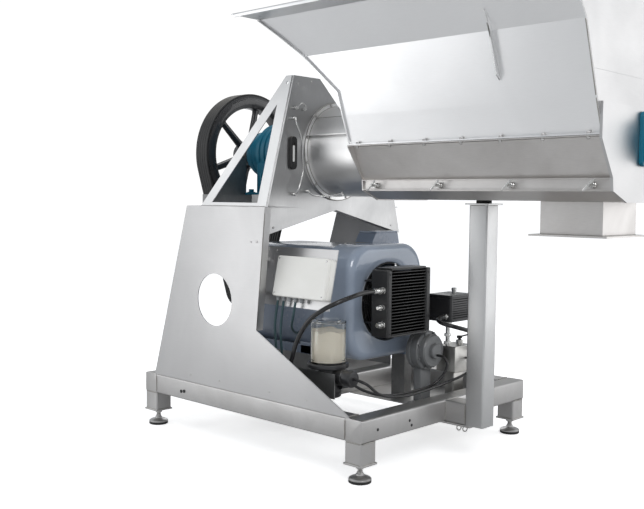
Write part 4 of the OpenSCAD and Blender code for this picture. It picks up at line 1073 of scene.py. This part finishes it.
# ---------------------------------------------------------------- bearing unit and gauge
# A cast cartridge on a bolted pedestal carries the shaft: ribbed barrel, bolted end covers,
# breather cap on top.  All of it sprayed the same sea-green enamel, over cast skin.
teal_enamel = finish("teal_enamel", (0.004, 0.14, 0.225), (0.003, 0.095, 0.16), 0.34, grain_size=85,
                     depth=0.0004, cloud_size=5, cloud=0.6, dust=0.03, coat=0.1, spec=0.3, grit=0.25)
barrel = [(45.2, -1150), (88, -1150), (95, -1145), (95, -1104), (124, -1100), (130, -1095), (130, -1072),
          (126, -1068), (126, -1060), (130, -1056), (130, -995), (163, -990), (170, -984)]
for k in range(7):
    barrel += [(170, -960 + 40 * k), (163, -956 + 40 * k), (163, -944 + 40 * k), (170, -940 + 40 * k)]
barrel += [(170, -676), (163, -670), (130, -665), (130, -606), (124, -600), (95, -596), (95, -565),
           (88, -560), (45.2, -560)]
unit = [hooped(barrel, (0, 0, shaft_z), 0, 80),
        boxed((-990, -160, 1293), (-670, 160, 1470), 14, 3, axis=2),
        boxed((-1060, -190, 1279), (-600, 190, 1293), 16, 2, axis=2),
        turned([(0, 1676), (22, 1676), (24, 1690), (30, 1692), (30, 1709), (27, 1714), (0, 1715)],
               (-900, 0, 0), 2, 36)]
for y in (-176, 176):
    for x in (-1030, -630):
        unit.append(turned([(0, 1293), (22, 1293), (24, 1295), (24, 1297), (0, 1297)], (x, y * 0.9, 0), 2,
                           28))
        unit.append(hexagon(27, 1297, 1312, (x, y * 0.9, 0)))
for x in (-925, -830, -735):
    for y in (-1, 1):
        unit.append(boxed((x - 7, 150 * y, 1293), (x + 7, 186 * y, 1400), 3, 2, axis=2))
for low, high in ((-1104, -1116), (-596, -584)):
    for k in range(6):
        a = math.radians(30 + 60 * k)
        unit.append(hexagon(17, min(low, high), max(low, high),
                            (0, 112 * math.cos(a), shaft_z + 112 * math.sin(a)), 0))
make_piece("cartridge_unit", unit, "frame", teal_enamel, 30, ("bearing_housing",))

outer = [(45.2, 1244), (84, 1244), (88, 1248), (88, 1312), (84, 1320), (60, 1322), (60, 1331), (57, 1334),
         (45.2, 1334)]
flange = [boxed((1226, -110, 1405), (1244, 110, 1625), 22, 2.5, axis=0),
          hooped(outer, (0, 0, shaft_z), 0, 72)]
for y in (-82, 82):
    for z in (-82, 82):
        flange.append(hexagon(24, 1244, 1257, (0, y, shaft_z + z), 0))
        washer = [(0, 1244), (19, 1244), (19, 1246.5), (0, 1246.5)]
        flange.append(turned(washer, (0, y, shaft_z + z), 0, 28))
nipple = [(0, 1602), (6, 1602), (6, 1607), (3, 1610), (3.4, 1614), (0, 1616)]
flange.append(turned(nipple, (1284, 0, 0), 2, 16))
make_piece("flange_unit", flange, "frame", teal_enamel, 30, ("end_bearing",))

# Oil level gauge: a black moulded frame round a slot, a pale sight glass in it, two hollow bolts.
def slot_ring(half, straight):
    """Outline of the gauge: two half circles of radius half, 2 straight apart, joined by lines."""
    t = np.linspace(0, 2 * math.pi, 40, endpoint=False) + 0.01
    return np.stack([half * np.cos(t), 1495 + np.copysign(straight, np.sin(t)) + half * np.sin(t)], -1)


gauge_rows = []
for half, straight, x in ((23, 62, -518), (23, 62, -505), (21, 62, -502.4), (12, 46, -502.2),
                          (9.5, 43, -504),
                          (9.0, 43, -509.5)):
    gauge_rows.append([(x, y - 340, z) for y, z in slot_ring(half, straight)])
gauge_body = [surface(np.array(gauge_rows) / 1000.0)]
for z in (1432, 1558):
    gauge_body.append(turned([(0, -504), (9, -504), (9, -502.6), (4, -502.2), (0, -502.2)], (0, -340, z),
                             0, 24))
make_piece("gauge_frame", gauge_body, "frame", fan_plastic, 30, ("oil_gauge",))
sight_white = finish("sight_white", (0.90, 0.90, 0.88), (0.74, 0.74, 0.71), 0.10, grain_size=40,
                     depth=0.00005,
                     cloud_size=20, coat=0.6)
make_piece("gauge_glass", [boxed((-509.2, -347, 1450), (-505, -333, 1534), 6, 0.8, axis=0)], "frame",
           sight_white)

# Central lubrication: 8 mm steel tube bent between brass-bright unions on the front plate.
tubes, line_routes = [], (
    [(-492, -330, 1725), (-478, -318, 1745), (-474, -296, 1744), (-492, -272, 1722)],
    [(-490, -344, 1672), (-474, -352, 1640), (-478, -310, 1560), (-478, -304, 1480), (-478, -300, 1400),
     (-474, -330, 1320), (-490, -339, 1284)],
    [(-492, -244, 1300), (-458, -236, 1278), (-408, -180, 1276), (-368, -120, 1292)])
for route in line_routes:
    tubes.append(surface(carried_ring(eased(route, 10), 0.0039, 14)))
for y, z in ((-330, 1725), (-272, 1722), (-344, 1672), (-244, 1300), (-339, 1284)):
    tubes.append(hexagon(15, -518, -506, (0, y, z), 0))
    tubes.append(turned([(0, -506), (7, -506), (8.6, -504), (8.6, -497), (6, -495), (6, -489), (4.6, -488),
                         (0, -488)],
                        (0, y, z), 0, 22))
tubes.append(hexagon(15.5, 1280, 1291, (-368, -120, 0)))
tubes.append(turned([(0, 1291), (7, 1291), (7, 1298), (5, 1300), (0, 1300)], (-368, -120, 0), 2, 20))
make_piece("lubrication_lines", tubes, "frame", zinc, 32, ("lube_lines",))

# ---------------------------------------------------------------- rotor and hammers
# Turned shaft with keys and shoulders; laser-cut hardened discs held apart by turned sleeves;
# three rows of swinging hammers, each a flat bar with a rounded foot, worn bright at the tip.
turned_steel = finish("turned_steel", (0.70, 0.69, 0.68), (0.48, 0.475, 0.47), 0.24, 1.0, grain=(30, 1, 1),
                      grain_size=24, depth=0.00012, cloud_size=7, cloud=0.5)
disc_steel = finish("disc_steel", (0.30, 0.29, 0.285), (0.17, 0.165, 0.16), 0.42, 1.0, grain=(1, 12, 12),
                    grain_size=30, depth=0.0002, cloud_size=9, cloud=0.8, dust=0.2)
hammer_steel = finish("hammer_steel", (0.40, 0.39, 0.38), (0.20, 0.19, 0.185), 0.36, 1.0, grain=(1, 1, 10),
                      grain_size=36, depth=0.0002, cloud_size=18, cloud=0.8)
shaft_line = [(0, -1298), (42, -1298), (45, -1295), (45, -1178), (44.4, -1177.6), (45, -1177), (45, -1120),
              (44.2, -1119), (44.2, -1112), (45, -1111), (45, 1210), (44.3, 1211), (44.3, 1216), (45, 1217),
              (45, 1319), (42, 1322), (8, 1322), (6, 1316), (0, 1315)]
make_piece("turned_shaft", [turned(shaft_line, (0, 0, shaft_z), 0, 64)], "rotor", turned_steel,
           24, ("rotor_shaft",))
stack = []
for k in range(8):
    x = 42 + 150 * k
    stack.append(hooped([(45.2, x - 6), (163, x - 6), (165, x - 4), (165, x + 4), (163, x + 6),
                         (45.2, x + 6)],
                        (0, 0, shaft_z), 0, 72))
    if k < 7:
        stack.append(hooped([(45.2, x + 6), (58, x + 6), (60, x + 8), (60, x + 142), (58, x + 144),
                             (45.2, x + 144)],
                            (0, 0, shaft_z), 0, 48))
for a in (-90, 30, 150):
    y, z = 130 * math.cos(math.radians(a)), shaft_z + 130 * math.sin(math.radians(a))
    stack.append(turned([(0, 34), (9, 34), (10, 35.5), (10, 1110.5), (9, 1112), (0, 1112)], (0, y, z), 0,
                        24))
make_piece("disc_stack", stack, "rotor", disc_steel, 30, ("rotor_discs",))
head = [(24 * math.cos(t), 24 * math.sin(t)) for t in np.linspace(0, math.pi, 18)]
for row, a in enumerate((-90, 30, 150)):
    py, pz = 130 * math.cos(math.radians(a)), shaft_z + 130 * math.sin(math.radians(a))
    bars = []
    for i in range(7):
        x = 82 + 24 * row + 150 * i
        edge = [(-24, -80), (-22, -85), (22, -85), (24, -80)] + head
        bars.append(holed_plate([(py + y, pz + z) for y, z in edge], (py, pz), 10.3, x, x + 10, 0, 40))
    make_piece("hammer_bars_%d" % (row + 1), bars, "hammer_row_%d" % (row + 1), hammer_steel,
               30,
               ("hammers_%d" % (row + 1),))

# ---------------------------------------------------------------- pan, chute and wing clamps
# Folded pan under the trough with its discharge chute, drawn up against the joint strip by four
# spindles with wing handles; a tongue on each spindle holds the pan's upturned edge.
# The pan takes the trough's darker sheet colour, which is painted shade.
refinish(("bottom_pan",), trough_sheet_painted_shade)
pan_weld = []
for z, x0, x1 in ((1262, 816, 1104), (1121, 816, 1104)):
    for x in (x0, x1):
        pan_weld += weld_bead([(x, -154, z), (x, 154, z)], 2.0)
    for y in (-154, 154):
        pan_weld += weld_bead([(x0, y, z), (x1, y, z)], 2.0)
make_piece("chute_welds", pan_weld, "frame", weld_metal, 60)
for name, x in (("a", 24), ("b", 394), ("c", 764), ("d", 1134)):
    index = "abcd".index(name) + 1
    wing = [turned([(0, -353), (5, -353), (6, -352), (6, -285), (5, -284), (0, -284)], (x, 0, 1327), 1, 24),
            turned([(0, -325), (12, -325), (13, -324), (13, -314), (10, -312), (10, -309), (12.6, -307),
                    (12.6, -305.4),
                    (0, -305.4)], (x, 0, 1327), 1, 28),
            boxed((x - 18, -292, 1322), (x + 18, -284, 1332), 3, 0.8, axis=1)]
    reach = np.linspace(-34, 34, 15)
    half_tall = 4.2 + 2.4 * (np.abs(reach) / 34) ** 1.5
    half_deep = 4.9 - 1.4 * (np.abs(reach) / 34)
    swell = np.sqrt(np.clip(1 - (np.abs(reach) / 34.2) ** 10, 0.02, 1))
    turn = np.linspace(0, 2 * math.pi, 20, endpoint=False)
    u, v = reach[:, None] + 0 * turn, (half_tall * swell)[:, None] * np.sin(turn)
    y = -349 + (half_deep * swell)[:, None] * np.cos(turn)
    c, s = math.cos(math.radians(45)), math.sin(math.radians(45))
    wing.append(surface(np.stack([x + u * c - v * s, y, 1327 + u * s + v * c], -1) / 1000.0))
    make_piece("wing_clamp_%s" % name, wing, "clamp_%s" % name, zinc, 34,
               ("clamp_%d" % index,))

# ---------------------------------------------------------------- grease pump and reservoir
# Electric grease pump: black cast base, gear motor and outlet under a clear cup with a screwed
# cap, part full of pale grease whose top is still wavy from filling.
cup_line = [(0, 484), (83, 484), (86, 487), (86, 500), (84.6, 502), (84.6, 676), (86, 678), (86, 682),
            (84, 684),
            (60, 684), (60, 688), (58, 690), (0, 690), (0, 681), (78, 681), (82, 677), (82, 492),
            (79, 489), (0, 489)]
clear_cup = finish("clear_cup", (1.0, 1.0, 0.98), (0.97, 0.97, 0.95), 0.03, grain_size=40, depth=0.00005,
                   cloud_size=6, cloud=0.3, rough_swing=0.05)
clear_cup.node_tree.nodes["Principled BSDF"].inputs["Transmission Weight"].default_value = 1.0
clear_cup.node_tree.nodes["Principled BSDF"].inputs["IOR"].default_value = 1.46
make_piece("clear_reservoir", [hooped(cup_line, (-100, -500, 0), 2, 72)], "frame", clear_cup,
           30, ("reservoir",))
out = np.array((0.002, 0.2, 0.4, 0.6, 0.8, 0.94, 1.0))[:, None] * 81.6
turn = np.linspace(0, 2 * math.pi, 64, endpoint=False)[None]
x, y = out * np.cos(turn), out * np.sin(turn)
top = 639 + 5.5 * np.sin(x * 0.055 + 0.6) * np.cos(y * 0.045) + 3.0 * np.sin(0.11 * x - 0.09 * y + 1.2)
rows = [np.stack([x[i], y[i], np.minimum(top[i], 647.6)], -1) for i in range(len(out))]
rows += [np.stack([x[-1] * f, y[-1] * f, z + 0 * x[-1]], -1) for f,
         z in ((1, 560), (1, 492), (0.96, 489.2), (0.002, 489.2))]
pale_grease = finish("pale_grease", (1.0, 0.93, 0.80), (0.97, 0.88, 0.73), 0.40, grain_size=70,
                     depth=0.0006,
                     cloud_size=14, cloud=0.7, coat=0.3)
make_piece("grease_fill", [surface((np.array(rows) + (-100, -500, 0)) / 1000.0)], "frame", pale_grease,
           50, ("grease",))
pump_parts = [turned([(0, 456), (60, 456), (92, 460), (98, 464), (100, 470), (100, 480), (97, 484),
                      (0, 484)], (-100, -500, 0), 2, 72),
              turned([(0, 322), (50, 322), (56, 326), (58, 332), (58, 350), (56, 352), (56, 356),
                      (58, 358), (58, 452), (56, 456), (0, 456)],
                     (-90, -500, 0), 2, 56),
              turned([(0, -60), (40, -60), (40, 10), (38, 12), (38, 16), (40, 18), (40, 56), (36, 64),
                      (12, 66), (12, 68), (0, 68)],
                     (0, -500, 424), 0, 40),
              turned([(0, -500), (14, -500), (14, -452), (11, -450), (11, -438), (0, -438)], (-20, 0, 380),
                     1, 28)]
pump_parts.append(hexagon(25, -462, -452, (-20, 0, 380), 1))
for k in range(6):
    a = math.radians(60 * k)
    pump_parts.append(hexagon(11, 480, 486.5, (-100 + 92.5 * math.cos(a), -500 + 92.5 * math.sin(a), 0)))
for k in range(10):
    a = math.radians(36 * k + 6)
    pump_parts.append(boxed((-90 + 56 * math.cos(a) - 2, -500 + 56 * math.sin(a) - 2, 362),
                            (-90 + 56 * math.cos(a) + 2, -500 + 56 * math.sin(a) + 2, 444), 1, 0.6, axis=2))
pump_enamel = finish("pump_enamel", (0.020, 0.020, 0.022), (0.042, 0.042, 0.044), 0.32, grain_size=100,
                     depth=0.0004, cloud_size=8, cloud=0.6, coat=0.3, dust=0.15)
make_piece("grease_pump_unit", pump_parts, "frame", pump_enamel, 30, ("grease_pump",))
refinish(("grease_bracket",), shelf_steel)
pump_bolts = [hexagon(13, -572, -564, (x, 0, z), 1) for x in (-281, -221) for z in (349, 371)]
make_piece("bracket_screws", pump_bolts, "frame", zinc, 30)

# ---------------------------------------------------------------- tray, circulation pump, filter, valve
# Folded drip tray welded under the rails; on it a round pump on a pedestal, a square filter
# housing and a valve block with a quarter-turn lever.
tray_steel = finish("tray_steel", (0.66, 0.65, 0.645), (0.46, 0.455, 0.45), 0.40, 1.0, grain=(12, 1, 1),
                    grain_size=26,
                    depth=0.0002, cloud_size=3.0, cloud=0.8, dust=0.35)
refinish(("drip_tray",), tray_steel)
pump_grey = finish("pump_grey", (0.20, 0.205, 0.21), (0.13, 0.135, 0.14), 0.38, grain_size=95, depth=0.0004,
                   cloud_size=7, cloud=0.6, coat=0.15, dust=0.2, grit=0.25)
round_pump = [turned([(0, -90), (60, -90), (96, -86), (104, -78), (104, -60), (100, -58), (100, -42),
                      (104, -40),
                      (104, -14), (100, -10), (86, -8), (86, 18), (80, 25), (40, 26), (40, 41), (36, 45),
                      (0, 45)],
                     (0, 175, 475), 0, 72),
              boxed((-75, 130, 202), (-25, 220, 385), 8, 2, axis=2),
              boxed((-90, 100, 190), (-10, 250, 202), 8, 1.5, axis=2)]
for k in range(8):
    a = math.radians(22.5 + 45 * k)
    round_pump.append(hexagon(13, -10, -1, (0, 175 + 94 * math.cos(a), 475 + 94 * math.sin(a)), 0))
for y in (112, 238):
    round_pump.append(hexagon(16, 202, 211, (-50, y, 0)))
make_piece("circulation_pump", round_pump, "frame", pump_grey, 30, ("pump_housing",))
filter_parts = [boxed((-40, 200, 630), (110, 390, 752), 12, 3, axis=2),
                boxed((-38, 202, 751), (108, 388, 756), 10, 0, axis=2),
                boxed((-40, 200, 755), (110, 390, 770), 12, 4, axis=2)]
for x in (-26, 96):
    for y in (214, 376):
        filter_parts.append(domed((x, y, 769), (0, 0, 1), 6, 1.0))
for z in range(648, 745, 12):
    filter_parts.append(boxed((109, 214, z), (110, 376, z + 5), 1, 0, axis=0))
make_piece("filter_case", filter_parts, "frame", pump_enamel, 30, ("filter_box",))
satin_nickel = finish("satin_nickel", (0.62, 0.61, 0.585), (0.42, 0.41, 0.39), 0.30, 1.0, grain=(1, 1, 14),
                      grain_size=40,
                      depth=0.00015, cloud_size=12, cloud=0.6)
valve = [boxed((-40, 285, 350), (80, 445, 490), 8, 2.5, axis=0), boxed((-10, 320, 190), (50, 410, 350), 6,
                                                                       1, axis=2),
         boxed((-20, 445, 380), (60, 490, 450), 6, 2, axis=1),
         hooped([(8.3, 488), (20, 488), (20, 504), (17, 510), (8.3, 510)], (20, 410, 0), 2, 36)]
make_piece("valve_body", valve, "frame", satin_nickel, 30, ("valve_block",))
handle = boxed((0, 0, 0), (95, 16, 8), 3.6, 2, axis=0)[0] * 1000.0
lean = math.radians(18)
points = np.stack([14 + handle[:, 0] * math.cos(lean) - handle[:, 2] * math.sin(lean), 402 + handle[:, 1],
                   520 + handle[:, 0] * math.sin(lean) + handle[:, 2] * math.cos(lean)], -1)
lever = [turned([(0, 474), (8, 474), (8, 519), (14, 519), (15, 520), (15, 531), (14, 532), (0, 532)],
                (20, 410, 0), 2, 32),
         (points / 1000.0, boxed((0, 0, 0), (95, 16, 8), 3.6, 2, axis=0)[1])]
make_piece("lever_handle", lever, "oil_valve", fan_plastic, 34, ("valve_lever",))
